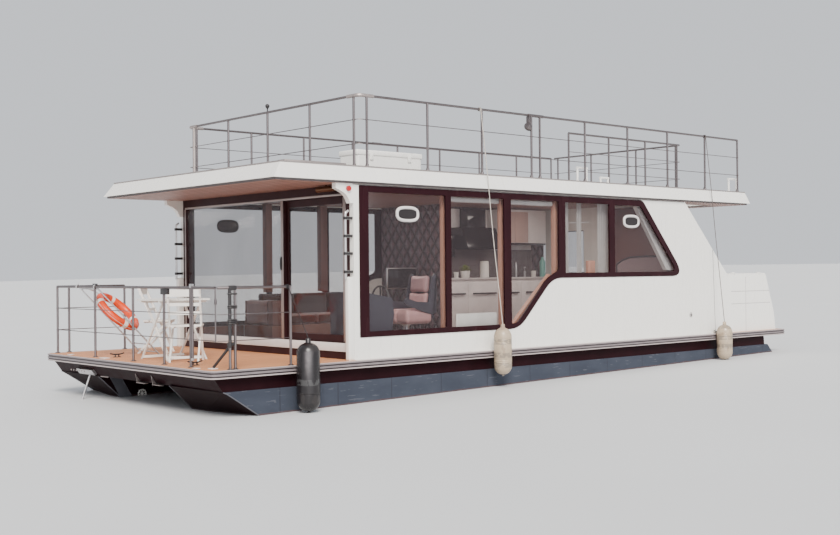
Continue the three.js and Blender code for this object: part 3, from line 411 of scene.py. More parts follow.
rail_steel = brushed("rail_steel", (0.2, 0.172, 0.172), 0.26)
bright_steel = brushed("bright_steel", (0.62, 0.6, 0.6), 0.22)
frame_alloy = brushed("frame_alloy", (0.46, 0.4, 0.38), 0.4)
black_plastic = cast("black_plastic", (0.02, 0.017, 0.018), 0.45)
rail_rubber = cast("rail_rubber", (0.13, 0.11, 0.115), 0.5)
trim_white = cast("trim_white", (0.68, 0.64, 0.62), 0.4)
motor_paint = cast("motor_paint", (0.03, 0.032, 0.036), 0.25, 0.3)
motor_alloy = cast("motor_alloy", (0.3, 0.31, 0.33), 0.4, 0.9)
console_grey = cast("console_grey", (0.036, 0.035, 0.05), 0.45)
white_paint = cast("white_paint", (0.8, 0.77, 0.72), 0.45, grain=90.0)
roof_grey = cast("roof_grey", (0.3, 0.29, 0.285), 0.75, grain=160.0, depth=0.002)
signal_red = cast("signal_red", (0.42, 0.012, 0.014), 0.25)
signal_green = cast("signal_green", (0.01, 0.24, 0.07), 0.25)
horn_bronze = brushed("horn_bronze", (0.12, 0.055, 0.03), 0.25)

# %% [markdown]
# ## Glass
# The panes are clear, slightly smoked glass: the room shows through, and the sky lies on top.
# A full refraction would leave the room black, so the pane lets light through by its Alpha,
# which rises at a low angle as real glass turns to a mirror there.
# %% Window glass


def pane_glass():
    finish = keep(Finish("pane_glass", (0.06, 0.045, 0.05), 0.04))
    edge = finish.node("ShaderNodeLayerWeight", output="Facing", Blend=0.35)
    smear = finish.noise(2.5, 4.0, (1, 1, 0.4))
    finish.set("Alpha", edge * 0.4 + smear * 0.06 + 0.08)
    finish.set("IOR", 1.6)
    finish.set("Roughness", smear * 0.05 + 0.01)
    return finish


window_glass = pane_glass()

# %% [markdown]
# ## Soft and indoor finishes
# Rope is a twist of strands, vinyl is smooth with fine pores, and cloth is a close weave.
# The cabin's inner wall is quilted in diamonds, which is two slanted waves crossing; the creases between the
# diamonds are painted dark as painted shade, and the puffs painted light as a painted highlight.
# %% Rope, vinyl, cloth and quilting


def rope(name, colour, lay=0.03):
    """A twist that follows the cord's own length through its UV map."""
    finish = keep(Finish(name, colour, 0.85))
    along, around, _ = finish.parts("UV")
    strand = ((along * (1 / lay) + around * 3).repeat(1.0) - 0.5).size() * 2
    # Painted shade: the valleys between the strands are painted darker; the bump gives the twist itself.
    finish.set("Base Color", finish.shade(1 - strand, 0.45, 1.15))
    finish.bump(1 - strand, 0.003, 0.8)
    return finish


def cloth(name, colour, pitch=0.004, roughness=0.85, side=None):
    """A close weave; side is a darker colour painted on what faces to port, as painted shade."""
    finish = keep(Finish(name, colour, roughness))
    finish.set("Sheen Weight", 0.3)
    x, y, z = finish.axes()
    first = ((x + z).repeat(pitch) - pitch / 2).size() * (2 / pitch)
    second = ((y + z).repeat(pitch) - pitch / 2).size() * (2 / pitch)
    weave = first * 0.5 + second * 0.5
    broad = finish.noise(6.0, 3.0)
    woven = finish.shade(broad * 0.6 + weave * 0.4, 0.7, 1.2)
    # Painted shade: faces turned to port take the darker side colour.
    if side:
        _, sideways, _ = finish.facing()
        woven = finish.blend(sideways.above(0.7), woven, side)
    finish.set("Base Color", woven)
    finish.bump(weave, 0.001, 0.5)
    return finish


def leather(name, colour, roughness=0.45):
    finish = keep(Finish(name, colour, roughness))
    pores = finish.cells(260.0)
    fold = finish.noise(9.0, 4.0)
    finish.set("Base Color", finish.shade(fold, 0.75, 1.2))
    finish.set("Roughness", fold * 0.2 + roughness - 0.1)
    finish.bump(pores * 0.4 + fold, 0.002, 0.5)
    return finish


def vinyl(name, colour, stain, bands=(), painted_sheen=0.0):
    """Smooth vinyl with stains. Bands are the heights where it rubs the quay; the last argument is how
    strongly a painted sheen, a lighter band that is a painted highlight, lies on the side that faces forward
    to port."""
    finish = keep(Finish(name, colour, 0.42))
    dirt = finish.noise(7.0, 5.0, (1, 1, 0.5))
    worn = finish.noise(24.0, 3.0)
    skin = finish.blend(dirt.above(0.58) * 0.45, finish.shade(worn, 0.85, 1.12), stain)
    _, _, z = finish.axes()
    for height in bands:
        rub = (z - height + dirt * 0.05).size().below(0.035) * worn.above(0.42)
        rubbed = tuple(0.25 * tone + 0.06 for tone in colour)
        skin = finish.blend(rub * 0.6, skin, rubbed)
    # Painted highlight: a lighter band painted on the faces turned forward to port, above a quarter metre.
    if painted_sheen:
        ahead, sideways, _ = finish.facing()
        sheen_facing = (ahead * 0.6 + sideways * 0.8).larger(0.0)
        rise = (z - 0.25).larger(0.0).smaller(0.3) * (painted_sheen / 0.3)
        painted_sheen_mask = sheen_facing.math("POWER", sheen_facing, 30.0) * (worn * 0.7 + 0.3) * rise
        skin = finish.blend(painted_sheen_mask, skin, (0.3, 0.27, 0.28))
    finish.set("Base Color", skin)
    finish.set("Roughness", dirt * 0.25 + 0.18)
    finish.bump(worn, 0.001, 0.5)
    return finish


QUILT_WIDE, QUILT_HIGH = 0.2, 0.27


def quilting():
    finish = keep(Finish("quilted_leather", (0.05, 0.032, 0.035), 0.34, coat=0.2))
    x, y, z = finish.axes()
    level = (x + y) * (1 / QUILT_WIDE)
    rise = z * (1 / QUILT_HIGH)
    first = ((level + rise).repeat(1.0) - 0.5).size() * 2
    second = ((level - rise).repeat(1.0) - 0.5).size() * 2
    puff = 1 - first.larger(second)
    # Painted shade in the creases and a painted highlight on the puffs: the colour runs from very dark to
    # over three times as light with the puff's height.
    finish.set("Base Color", finish.shade(puff.math("POWER", puff, 0.6), 0.12, 3.2))
    finish.set("Roughness", 0.5 - puff * 0.22)
    finish.bump(puff.math("POWER", puff, 0.5), 0.05, 1.0)
    return finish


pale_rope = rope("pale_rope", (0.62, 0.56, 0.5))
black_rope = rope("black_rope", (0.03, 0.025, 0.027))
dark_rope = rope("dark_rope", (0.15, 0.125, 0.12))
seat_leather = leather("seat_leather", (0.42, 0.24, 0.24))
dark_cloth = cloth("dark_cloth", (0.05, 0.045, 0.05))
# The sofa's port-facing faces are painted dark brown as painted shade.
sofa_cloth = cloth("sofa_cloth", (0.36, 0.24, 0.22), 0.006, side=(0.075, 0.035, 0.03))
bed_linen = cloth("bed_linen", (0.62, 0.58, 0.56), 0.003)
blind_cloth = cloth("blind_cloth", (0.86, 0.82, 0.8), 0.005)
# The black fender carries a painted sheen, a painted highlight on its side that faces forward to port.
black_vinyl = vinyl("black_vinyl", (0.01, 0.008, 0.009), (0.03, 0.025, 0.024), (0.28,), 0.75)
cream_vinyl = vinyl("cream_vinyl", (0.42, 0.33, 0.235), (0.22, 0.15, 0.1), (0.28, 0.42, 0.6))
buoy_orange = vinyl("buoy_orange", (0.72, 0.06, 0.008), (0.45, 0.035, 0.01))
quilted_leather = quilting()
cupboard_white = cast("cupboard_white", (0.8, 0.74, 0.72), 0.3, grain=500.0, depth=0.0002)
cupboard_pale = cast("cupboard_pale", (0.55, 0.38, 0.33), 0.35, grain=500.0, depth=0.0002)
screen_black = cast("screen_black", (0.012, 0.012, 0.014), 0.12, grain=600.0, depth=0.0001)
pillar_wood = planks("pillar_wood", (0.62, 0.3, 0.2), 0.8, 0.001, 1, 0.45)
pillar_brown = planks("pillar_brown", (0.16, 0.07, 0.055), 0.8, 0.001, 1, 0.45)
print("finishes:", len(finishes))

# %% [markdown]
# ## Floor and studio
# The boat is afloat, so the floor lies at its waterline and hides the floats' bottoms.
# In the picture she floats with her bow a little high, so the floor slopes under one degree along her.
# It is plain and pale. A large soft sun stands off the port bow, as in the picture,
# and the pale world fills the shadows and gives the glass something to reflect.
# Three soft lamps under the cabin's ceiling keep the rooms from going black behind their panes.
# %% Floor, world and lights
FLOOR_HALF = 150
ROOM_LIGHTS = ((3.9, 0.4), (5.4, 0.6), (7.6, 0.8))
ROOM_LIGHT_HEIGHT = 2.55


def studio_floor():
    mesh = bmesh.new()
    bmesh.ops.create_grid(mesh, x_segments=1, y_segments=1, size=FLOOR_HALF)
    for vert in mesh.verts:
        vert.co.z = WATER_AMIDSHIPS - BOW_UP * vert.co.x
    data = bpy.data.meshes.new("floor")
    mesh.to_mesh(data)
    mesh.free()
    floor = bpy.data.objects.new("floor", data)
    bpy.context.scene.collection.objects.link(floor)
    finish = Finish("studio_floor", (0.62, 0.63, 0.64), 0.6)
    finish.set("Base Color", finish.shade(finish.noise(0.4, 2.0), 0.97, 1.03))
    data.materials.append(finish.material)


def studio_light(name, kind, energy, colour, aim, spread):
    lamp = bpy.data.lights.new(name, kind)
    lamp.energy = energy
    lamp.color = colour
    if kind == "SUN":
        lamp.angle = math.radians(spread)
    light = bpy.data.objects.new(name, lamp)
    bpy.context.scene.collection.objects.link(light)
    light.rotation_mode = "QUATERNION"
    light.rotation_quaternion = Vector(aim).to_track_quat("-Z", "Y")
    return light


studio_floor()
studio_light("key_sun", "SUN", 5.0, (1, 0.95, 0.88), (-0.45, -0.62, -0.7), 22)
studio_light("fill_sun", "SUN", 1.5, (0.95, 0.96, 1), (-0.3, -1, -0.25), 60)
for place, y in ROOM_LIGHTS:
    lamp = studio_light("room_light", "AREA", 26, (1, 0.9, 0.82), (0, -0.25, -1), 0)
    lamp.data.size = 0.9
    lamp.location = at(place, y, ROOM_LIGHT_HEIGHT)
world = bpy.data.worlds.new("studio")
world.use_nodes = True
sky = world.node_tree.nodes["Background"].inputs
sky["Color"].default_value = (0.84, 0.87, 0.92, 1)
sky["Strength"].default_value = 1.0
bpy.context.scene.world = world
print("floor at the waterline, two suns,", len(ROOM_LIGHTS), "soft lamps and a pale world")

# %% [markdown]
# ## Making pieces
# Every new piece is a bmesh that grows from a few basic moves: a box with rounded edges,
# a rod, a ring, a turned profile and a flat plate pushed out to a thickness.
# Each move works inside one open bmesh, so one piece can hold many of them.
# %% Boxes and rods


def box(mesh, low, high, edge=0.0, segments=2):
    """A box between two corners with its edges rounded."""
    low, high = Vector(low), Vector(high)
    made = bmesh.ops.create_cube(mesh, size=1)["verts"]
    bmesh.ops.scale(mesh, vec=high - low, verts=made)
    bmesh.ops.translate(mesh, vec=(low + high) / 2, verts=made)
    if edge:
        edges = list({line for vert in made for line in vert.link_edges})
        bmesh.ops.bevel(mesh, geom=edges, offset=edge, offset_type="OFFSET", segments=segments,
                        profile=0.5, affect="EDGES", clamp_overlap=True, material=-1)


def rod(mesh, start, end, radius, sides=12):
    """A round bar from start to end."""
    start, end = Vector(start), Vector(end)
    along = end - start
    made = bmesh.ops.create_cone(mesh, cap_ends=True, cap_tris=False, segments=sides, radius1=radius,
                                 radius2=radius, depth=along.length)["verts"]
    turn = along.to_track_quat("Z", "Y").to_matrix()
    bmesh.ops.rotate(mesh, cent=(0, 0, 0), matrix=turn, verts=made)
    bmesh.ops.translate(mesh, vec=(start + end) / 2, verts=made)


# %% [markdown]
# ## Turned shapes and plates
# A lathe turns a profile about an axis, which is a spin with its seam merged.
# A ring is a small circle spun round a large one. A plate is one face pushed out.
# %% Turned shapes, rings and plates


def stand(mesh, before, foot, axis):
    """Turns what was added since before from the z axis to axis, and moves it to foot."""
    made = [vert for vert in mesh.verts if vert not in before]
    turn = Vector(axis).to_track_quat("Z", "Y").to_matrix()
    bmesh.ops.rotate(mesh, cent=(0, 0, 0), matrix=turn, verts=made)
    bmesh.ops.translate(mesh, vec=foot, verts=made)
    bmesh.ops.remove_doubles(mesh, verts=made, dist=1e-5)


def spin_round(mesh, outline, steps):
    """Spins points and the edges between them once about the z axis."""
    bmesh.ops.spin(mesh, geom=outline, cent=(0, 0, 0), axis=(0, 0, 1), dvec=(0, 0, 0), angle=math.tau,
                   steps=steps, use_merge=True, use_normal_flip=False, use_duplicate=False)


def turned(mesh, profile, foot, axis=(0, 0, 1), steps=24):
    """Spins (radius, height) points about the axis that starts at foot."""
    before = set(mesh.verts)
    start = [mesh.verts.new((radius, 0, height)) for radius, height in profile]
    spin_round(mesh, start + [mesh.edges.new(pair) for pair in zip(start, start[1:])], steps)
    stand(mesh, before, foot, axis)


def ring(mesh, centre, axis, radius, thick, steps=40, sides=10, stretch=1.0):
    """A ring about axis; stretch makes it an oval."""
    before = set(mesh.verts)
    circle = bmesh.ops.create_circle(mesh, segments=sides, radius=thick, cap_ends=False)["verts"]
    bmesh.ops.rotate(mesh, cent=(0, 0, 0), matrix=Matrix.Rotation(math.pi / 2, 3, "X"), verts=circle)
    bmesh.ops.translate(mesh, vec=(radius, 0, 0), verts=circle)
    spin_round(mesh, circle + list({line for vert in circle for line in vert.link_edges}), steps)
    made = [vert for vert in mesh.verts if vert not in before]
    bmesh.ops.scale(mesh, vec=(stretch, 1, 1), verts=made)
    stand(mesh, before, centre, axis)


def plate(mesh, corners, push):
    """A flat face with these corners, pushed out by the vector push."""
    face = mesh.faces.new([mesh.verts.new(corner) for corner in corners])
    pushed = bmesh.ops.extrude_face_region(mesh, geom=[face])["geom"]
    verts = [item for item in pushed if isinstance(item, bmesh.types.BMVert)]
    bmesh.ops.translate(mesh, vec=push, verts=verts)
    bmesh.ops.recalc_face_normals(mesh, faces=mesh.faces[:])


# %% [markdown]
# ## Tubes and lines
# A curve with a round section bends as a tube does, so each tube or line is one open spline.
# Tubes become a mesh at once; a fender's line stays a curve, so that its length can be read from it.
# %% Routes and round sections


def rounded_route(points, bend=0.0, steps=4):
    """The corners of a route, each cut back by bend and rounded."""
    points = [Vector(point) for point in points]
    route = [points[0]]
    for before, here, after in zip(points, points[1:], points[2:]):
        entry = here + (before - here).normalized() * bend
        leave = here + (after - here).normalized() * bend
        for step in range(steps + 1):
            part = step / steps
            route.append(entry.lerp(here, part).lerp(here.lerp(leave, part), part))
    return [*route, points[-1]]


def round_curve(name, routes, radius, sides):
    """A curve with a round section and one open spline for each route."""
    curve = bpy.data.curves.new(name, "CURVE")
    curve.dimensions = "3D"
    curve.bevel_depth = radius
    curve.bevel_resolution = sides
    curve.use_fill_caps = True
    for route in routes:
        spline = curve.splines.new("POLY")
        spline.points.add(len(route) - 1)
        for point, place in zip(spline.points, route):
            point.co = (*place, 1)
    return bpy.data.objects.new(name, curve)


def settled(holder):
    """The mesh of the holder as its modifiers or its round section leave it."""
    graph = bpy.context.evaluated_depsgraph_get()
    return bpy.data.meshes.new_from_object(holder.evaluated_get(graph))


def add_tubes(mesh, routes, radius, sides=2):
    """Adds a round tube along each route to the mesh."""
    holder = round_curve("tubes", routes, radius, sides)
    bpy.context.scene.collection.objects.link(holder)
    data = settled(holder)
    bpy.data.objects.remove(holder)
    mesh.from_mesh(data)
    bpy.data.meshes.remove(data)


# %% [markdown]
# ## From a bmesh to a piece
# A finished piece rides on a body of the frame, takes its finish, and may stand for solids.
# Edges flatter than 35 degrees are shaded smooth, so rods look round and corners stay crisp.
# %% Finish a piece
SMOOTH_BELOW = math.radians(35)


def finish_piece(name, mesh, finish, body="boat", stands_for=()):
    bmesh.ops.recalc_face_normals(mesh, faces=mesh.faces[:])
    data = bpy.data.meshes.new(name)
    mesh.to_mesh(data)
    mesh.free()
    data.shade_smooth()
    data.set_sharp_from_angle(angle=SMOOTH_BELOW)
    return dress(bpy.data.objects.new(name, data), finish, body, stands_for)


def box_piece(name, finish, slot, *boxes, body="boat", stands_for=()):
    """A piece of boxes only: each is its low and high corner, its edge and, if need be, its segments."""
    mesh = bmesh.new()
    for shape in boxes:
        box(mesh, *shape)
    return finish_piece(name, mesh, finish, body, stands_for)


def dress(piece, finish, body="boat", stands_for=()):
    if piece.name not in bpy.context.scene.collection.objects:
        bpy.context.scene.collection.objects.link(piece)
    piece.data.materials.clear()
    piece.data.materials.append(finish.material)
    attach(piece, body)
    if stands_for:
        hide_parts(*stands_for)
    print(piece.name, len(piece.data.polygons) if piece.type == "MESH" else "curve")
    return piece


# %% [markdown]
# ## Fender lines
# Three fenders hang over the port side on thin lines: one from the bow rail, two from the roof rail.
# The lines are limp and hang straight under the fender's weight; the long ones bend over the roof's edge.
# Each is a curve through the same points as its solid, so that looks and collision agree.
# From the fender's eye the line runs on down its middle, as such fenders are threaded, to a knot below.
# %% The routes of the lines
LINE_RADIUS = 0.006
TUBE = 0.017
GAP = 0.0003
RUB_RAIL = 2.235
ROOF_TOP = 2.886
ROOF_EDGE = ((2.199 + LINE_RADIUS + 0.001, 2.698), (2.226, 2.396))
EDGE_SHARE = 0.36
FENDERS = {
    "bow": dict(station=1.24, top=0.78, length=0.87, radius=0.141, tied=(1.085, 2.175, 1.391)),
    "side": dict(station=4.56, top=0.825, length=0.7, radius=0.125, tied=(4.42, 2.09, 3.806)),
    "aft": dict(station=9.9, top=0.665, length=0.64, radius=0.13, tied=(9.78, 2.09, 3.806)),
}


def fender_y(fender):
    return RUB_RAIL + fender["radius"] + GAP


def line_points(fender):
    """The line's bends from the rail to the fender's eye."""
    tied, y, z = fender["tied"]
    points = [at(tied, y + TUBE + LINE_RADIUS + GAP, z)]
    if z > ROOF_TOP:
        over = tied + (fender["station"] - tied) * EDGE_SHARE
        points += [at(over, *ROOF_EDGE[0]), at(over + 0.012, *ROOF_EDGE[1])]
    last = points[-1]
    side = math.hypot(station(fender["station"]) - last.x, fender_y(fender) - last.y)
    lean = side / math.hypot(side, last.z - fender["top"])
    end = fender["top"] + GAP + 1.3 * LINE_RADIUS * lean
    points.append(at(fender["station"], fender_y(fender), end))
    return points


def smooth_line(points, steps=12):
    """Points on a chord-length Catmull-Rom curve, the curve that the solid follows."""
    if len(points) == 2:
        return [points[0].lerp(points[1], step / steps) for step in range(steps + 1)]
    padded = [points[0] * 2 - points[1], *points, points[-1] * 2 - points[-2]]
    line = []
    for before, start, end, after in zip(padded, padded[1:], padded[2:], padded[3:]):
        spans = [max((second - first).length, 1e-6)
                 for first, second in ((before, start), (start, end), (end, after))]
        leave = tangent(before, start, end, spans[0], spans[1])
        arrive = tangent(start, end, after, spans[1], spans[2])
        for step in range(steps):
            line.append(hermite(start, end, leave * spans[1], arrive * spans[1], step / steps))
    return [*line, points[-1]]


def tangent(before, here, after, first, second):
    return (here - before) / first - (after - before) / (first + second) + (after - here) / second


def hermite(start, end, leave, arrive, part):
    square, cube = part ** 2, part ** 3
    return (start * (2 * cube - 3 * square + 1) + leave * (cube - 2 * square + part)
            + end * (3 * square - 2 * cube) + arrive * (cube - square))


def threaded(fender):
    """The line's whole route: down to the eye, through the fender and out of its foot."""
    route = smooth_line(line_points(fender))
    foot = at(fender["station"], fender_y(fender), fender["top"] - fender["length"] - 0.01)
    return route + [route[-1].lerp(foot, step / 8) for step in range(1, 9)]


routes = {name: threaded(fender) for name, fender in FENDERS.items()}
lengths = {name: sum((end - start).length for start, end in zip(route, route[1:]))
           for name, route in routes.items()}
print("line lengths:", {name: round(length, 3) for name, length in lengths.items()})

# %% [markdown]
# ## Fenders
# The bow fender is black, heavy and smooth. The other two are cream and slim, scuffed at the waist,
# with faint ribs at the shoulders. A fender is blown in a turned mould: round ends and a neck with an
# eye. A lathe profile gives all of that at once.
# %% Fenders on their lines
END_DEPTH = 0.13
RIB_HALF = 0.006


def rib(radius, height):
    """A fine groove round the fender that starts at height."""
    return [(radius, height), (radius * 0.97, height + RIB_HALF), (radius, height + 2 * RIB_HALF)]


def fender_profile(radius, bottom, top, ribs):
    """Radius and height from the bottom plug to the eye's neck, with or without moulded ribs."""
    quarter = [step / 8 * math.pi / 2 for step in range(1, 8)]
    points = [(0.0, bottom), (radius * 0.16, bottom + 0.002)]
    points += [(radius * (0.16 + 0.84 * math.sin(turn)), bottom + END_DEPTH * (1 - math.cos(turn)))
               for turn in quarter]
    for height in (0.15, 0.175, 0.2) if ribs else (0.2,):
        points += rib(radius, bottom + height)
    shoulder = top - 0.19
    for height in (0.05, 0.025, 0.0) if ribs else ():
        points += rib(radius, shoulder - height - 2 * RIB_HALF)
    points += [(radius * (0.26 + 0.74 * math.cos(turn)), shoulder + END_DEPTH * math.sin(turn))
               for turn in quarter]
    points += [(radius * 0.24, top - 0.05), (radius * 0.22, top - 0.012), (radius * 0.16, top), (0.0, top)]
    print("fender", round(top - bottom, 2), "m long,", len(points), "profile points")
    return points


def wrap_knot(mesh, centre, axis, radius, turns=3):
    """Round turns of the line about a rail."""
    for turn in range(turns):
        shift = Vector(axis) * (turn - (turns - 1) / 2) * 2 * LINE_RADIUS
        ring(mesh, centre + shift, axis, radius, LINE_RADIUS, steps=20, sides=8)


KNOT = [(0.0, -0.016), (0.012, -0.012), (0.016, 0.0), (0.012, 0.01), (0.0, 0.012)]
FENDER_LOOKS = {"bow": (black_vinyl, "fender_black", black_rope),
                "side": (cream_vinyl, "fender_white", pale_rope),
                "aft": (cream_vinyl, "fender_white", dark_rope)}
for name, fender in FENDERS.items():
    vinyl_finish, slot_name, rope_finish = FENDER_LOOKS[name]
    foot = fender["top"] - fender["length"]
    mesh = bmesh.new()
    turned(mesh, fender_profile(fender["radius"], foot, fender["top"] - 0.004, name != "bow"),
           at(fender["station"], fender_y(fender), 0), steps=40)
    body = finish_piece(f"fender_{name}_body", mesh, vinyl_finish, stands_for=[f"fender_{name}"])
    mesh = bmesh.new()
    wrap_knot(mesh, at(*fender["tied"]), (1, 0, 0), TUBE + LINE_RADIUS)
    finish_piece(f"fender_{name}_hitch", mesh, rope_finish)
    mesh = bmesh.new()
    turned(mesh, KNOT, routes[name][-1], steps=12)
    knot = finish_piece(f"fender_{name}_knot", mesh, rope_finish)
    line = round_curve(f"fender_{name}_line", [routes[name]], LINE_RADIUS, 3)
    dress(line, rope_finish, stands_for=[f"fender_line_{name}"])

# %% [markdown]
# ## Finishes for the frame's own nodes
# Most large solids already have the right shape, so they only need their finish.
# The moulded and cast ones also get a small bevel from a modifier, because a real edge is never sharp:
# the mesh is loose triangles, so Weld joins them before Bevel runs.
# %% Dress the frame


def dress_node(name, finish, edge=0.0):
    node = nodes[name]
    node.data.materials.clear()
    node.data.materials.append(finish.material)
    if edge:
        weld = node.modifiers.new("weld", "WELD")
        weld.merge_threshold = 1e-5
        bevel = node.modifiers.new("bevel", "BEVEL")
        bevel.width = edge
        bevel.segments = 2
        bevel.limit_method = "ANGLE"
        bevel.angle_limit = math.radians(40)
        bevel.harden_normals = False


def both(name):
    """The names of a pair of nodes, one on each side."""
    return [f"{name}_port", f"{name}_starboard"]


NODE_FINISHES = {
    float_finish: both("float"),
    hull_lacquer: ["bridge_hull"],
    deck_planks: ["deck"],
    rail_rubber: ["rub_rail"],
    floor_boards: ["cabin_floor"],
    white_gelcoat: [*both("cabin_side"), "aft_bulkhead", "aft_door"],
    locker_gelcoat: [*both("stern_locker"), *both("locker_lid")],
    roof_gelcoat: ["roof", "roof_chest"],
    window_lacquer: both("window_frame"),
    frame_lacquer: ["cabin_front_frame", "sliding_door_frame"],
    window_glass: [*both("window_glass"), "cabin_front_glass", "sliding_door_glass"],
    ceiling_boards: ["soffit"],
    signal_red: ["side_light_port"],
    signal_green: ["side_light_starboard"],
    rail_steel: ["roof_rail_front", *both("roof_rail"), "roof_rail_aft", "bow_rail_front", *both("bow_rail"),
                 "bow_gate"],
    bright_steel: ["boarding_ladder"],
    motor_paint: ["motor_bracket", "motor_swivel", "motor_unit"],
    motor_alloy: ["motor_propeller"],
    black_plastic: ["thruster_propeller", "steering_wheel"],
    console_grey: ["helm_console"],
    cupboard_white: ["kitchen"],
    quilted_leather: ["partition"],
    white_paint: ["stair", "terrace_table", *both("terrace_chair")],
    horn_bronze: ["horn_lamp"],
}
EDGE_NODES = {
    0.002: ["motor_propeller"],
    0.003: ["aft_door", "cabin_front_frame", "sliding_door_frame", "terrace_table", *both("terrace_chair"),
            "stair", "motor_bracket"],
    0.004: both("locker_lid"),
    0.006: ["motor_unit", "rub_rail"],
    0.008: both("stern_locker"),
    0.012: ["helm_console"],
    0.03: ["roof_chest"],
}
NODE_EDGES = {name: edge for edge, names in EDGE_NODES.items() for name in names}
for finish, names in NODE_FINISHES.items():
    for name in names:
        dress_node(name, finish, NODE_EDGES.get(name, 0.0))
print("nodes with a finish:", sum(len(names) for names in NODE_FINISHES.values()))

# %% [markdown]
# ## Rails
# The roof and bow rails are bent and welded stainless tube with two thin wires.
# Each post stands on a round flange; on the roof a small triangular gusset braces it.
# All tubes of a rail are one piece, which stands for that rail's solid.
# %% Posts and their feet
WIRE = 0.006
ROOF_RAIL_TOP = 3.806
DECK_TOP = 0.449
BOW_RAIL_TOP = 1.391
ROOF_FLANGE = [(0.0, 0.0), (0.04, 0.0), (0.04, 0.006), (0.024, 0.012), (0.021, 0.045), (0.0, 0.045)]


def upright(distance, y, foot, top):
    return [at(distance, y, foot), at(distance, y, top)]


def post_foot(mesh, distance, y, gusset=1):
    """A flange on the roof with its gusset to port, or with -1 to starboard."""
    x = station(distance)
    turned(mesh, ROOF_FLANGE, (x, y, ROOF_TOP), steps=16)
    plate(mesh, [(x - 0.002, y + gusset * out, ROOF_TOP + rise)
                 for out, rise in ((0.018, 0.006), (0.05, 0.006), (0.018, 0.07))], (0.004, 0, 0))


# %% [markdown]
# The roof rail: posts about a metre apart, a top tube, two wires and thick sleeves where tubes join.
# The aft rail runs from starboard to the stair, then forward along the stair's opening.
# %% Roof rails
ROOF_WIRES = (3.19, 3.5)
RAIL_SIDE = 2.09
FRONT_RAIL = 2.268
RAIL_END = 2.035
PORT_POSTS = (2.4, 3.44, 4.46, 5.47, 5.65, 6.66, 7.69, 8.73, 9.78, 10.76)
STARBOARD_POSTS = (2.4, 3.4, 4.43, 5.46, 6.48, 7.5, 8.52, 9.54, 10.55)
FRONT_POSTS = (-1.948, -0.975, 0.045, 1.042, 1.99)
AFT_ROW, INNER_ROW, STAIR_END = 10.6, 1.0, 7.54
AFT_POSTS = (-1.95, -1.09, 0.0, 0.9)
INNER_POSTS = (STAIR_END, 8.57, 9.57, 10.5)


def straight_rail(name, start, end, posts, clip, gusset=1, sleeves=()):
    """A rail between two places; places and posts are (distance aft, y), sleeves distances aft."""
    mesh = bmesh.new()
    uprights = [upright(*post, ROOF_TOP, ROOF_RAIL_TOP) for post in posts]
    add_tubes(mesh, [[at(*start, ROOF_RAIL_TOP), at(*end, ROOF_RAIL_TOP)], *uprights], TUBE)
    add_tubes(mesh, [[at(*start, z), at(*end, z)] for z in ROOF_WIRES], WIRE, 1)
    for post in posts:
        post_foot(mesh, *post, gusset)
        for z in ROOF_WIRES:
            rod(mesh, at(*post, z) - clip, at(*post, z) + clip, 0.008, 8)
    for sleeve in sleeves:
        rod(mesh, *[at(place, start[1], ROOF_RAIL_TOP) for place in sleeve], TUBE + 0.006, 14)
    finish_piece(f"{name}_tubes", mesh, rail_steel, stands_for=[name])


for side, posts, sleeve in ((1, PORT_POSTS, (5.4, 5.72)), (-1, STARBOARD_POSTS, (5.9, 6.1))):
    y = side * RAIL_SIDE
    straight_rail(f"roof_rail_{word(side)}", (FRONT_RAIL + 0.06, y), (posts[-1], y),
                  [(place, y) for place in posts], Vector((0, 0.02, 0)), -side, [sleeve])
straight_rail("roof_rail_front", (FRONT_RAIL, -RAIL_END), (FRONT_RAIL, RAIL_END),
              [(FRONT_RAIL, y) for y in FRONT_POSTS], Vector((0.02, 0, 0)))


def corner_sleeves():
    """Thick grey sleeves that join the front rail to the side rails, and one on the far corner's post."""
    mesh = bmesh.new()
    for side in (1, -1):
        outer = side * RAIL_SIDE
        route = [at(FRONT_RAIL, side * 1.86, ROOF_RAIL_TOP), at(FRONT_RAIL, outer, ROOF_RAIL_TOP),
                 at(FRONT_RAIL + 0.24, outer, ROOF_RAIL_TOP)]
        add_tubes(mesh, [rounded_route(route, 0.08, 6)], TUBE + 0.007, 3)
        for z in ROOF_WIRES:
            ends = [at(FRONT_RAIL, side * 2.03, z), at(FRONT_RAIL, outer, z), at(FRONT_RAIL + 0.07, outer, z)]
            add_tubes(mesh, [rounded_route(ends, 0.04)], WIRE, 1)
    rod(mesh, *upright(FRONT_RAIL, FRONT_POSTS[0], ROOF_TOP + 0.03, ROOF_RAIL_TOP - 0.01), TUBE + 0.008, 14)
    finish_piece("roof_rail_sleeves", mesh, frame_alloy)


def rail_aft():
    """The aft rail and the rail along the stair's opening, bent from one tube."""
    mesh = bmesh.new()
    corners = [(AFT_ROW, -2.04), (AFT_ROW, INNER_ROW), (STAIR_END, INNER_ROW)]
    posts = [(AFT_ROW, y) for y in AFT_POSTS] + [(place, INNER_ROW) for place in INNER_POSTS]
    top = rounded_route([at(*corner, ROOF_RAIL_TOP) for corner in corners], 0.05)
    add_tubes(mesh, [top, *[upright(*post, ROOF_TOP, ROOF_RAIL_TOP) for post in posts]], TUBE)
    for z in ROOF_WIRES:
        add_tubes(mesh, [rounded_route([at(*corner, z) for corner in corners], 0.03)], WIRE, 1)
    for place, y in posts:
        post_foot(mesh, place, y, 1 if place == AFT_ROW else -1)
    finish_piece("roof_rail_aft_tubes", mesh, rail_steel, stands_for=["roof_rail_aft"])


corner_sleeves()
rail_aft()

# %% [markdown]
# The small things on the roof rail: the all-round light on its mast, which is a dark ball on a collar,
# and a grey deck lamp that hangs from the port rail beside the middle sleeve.
# %% Mast light and hanging lamp


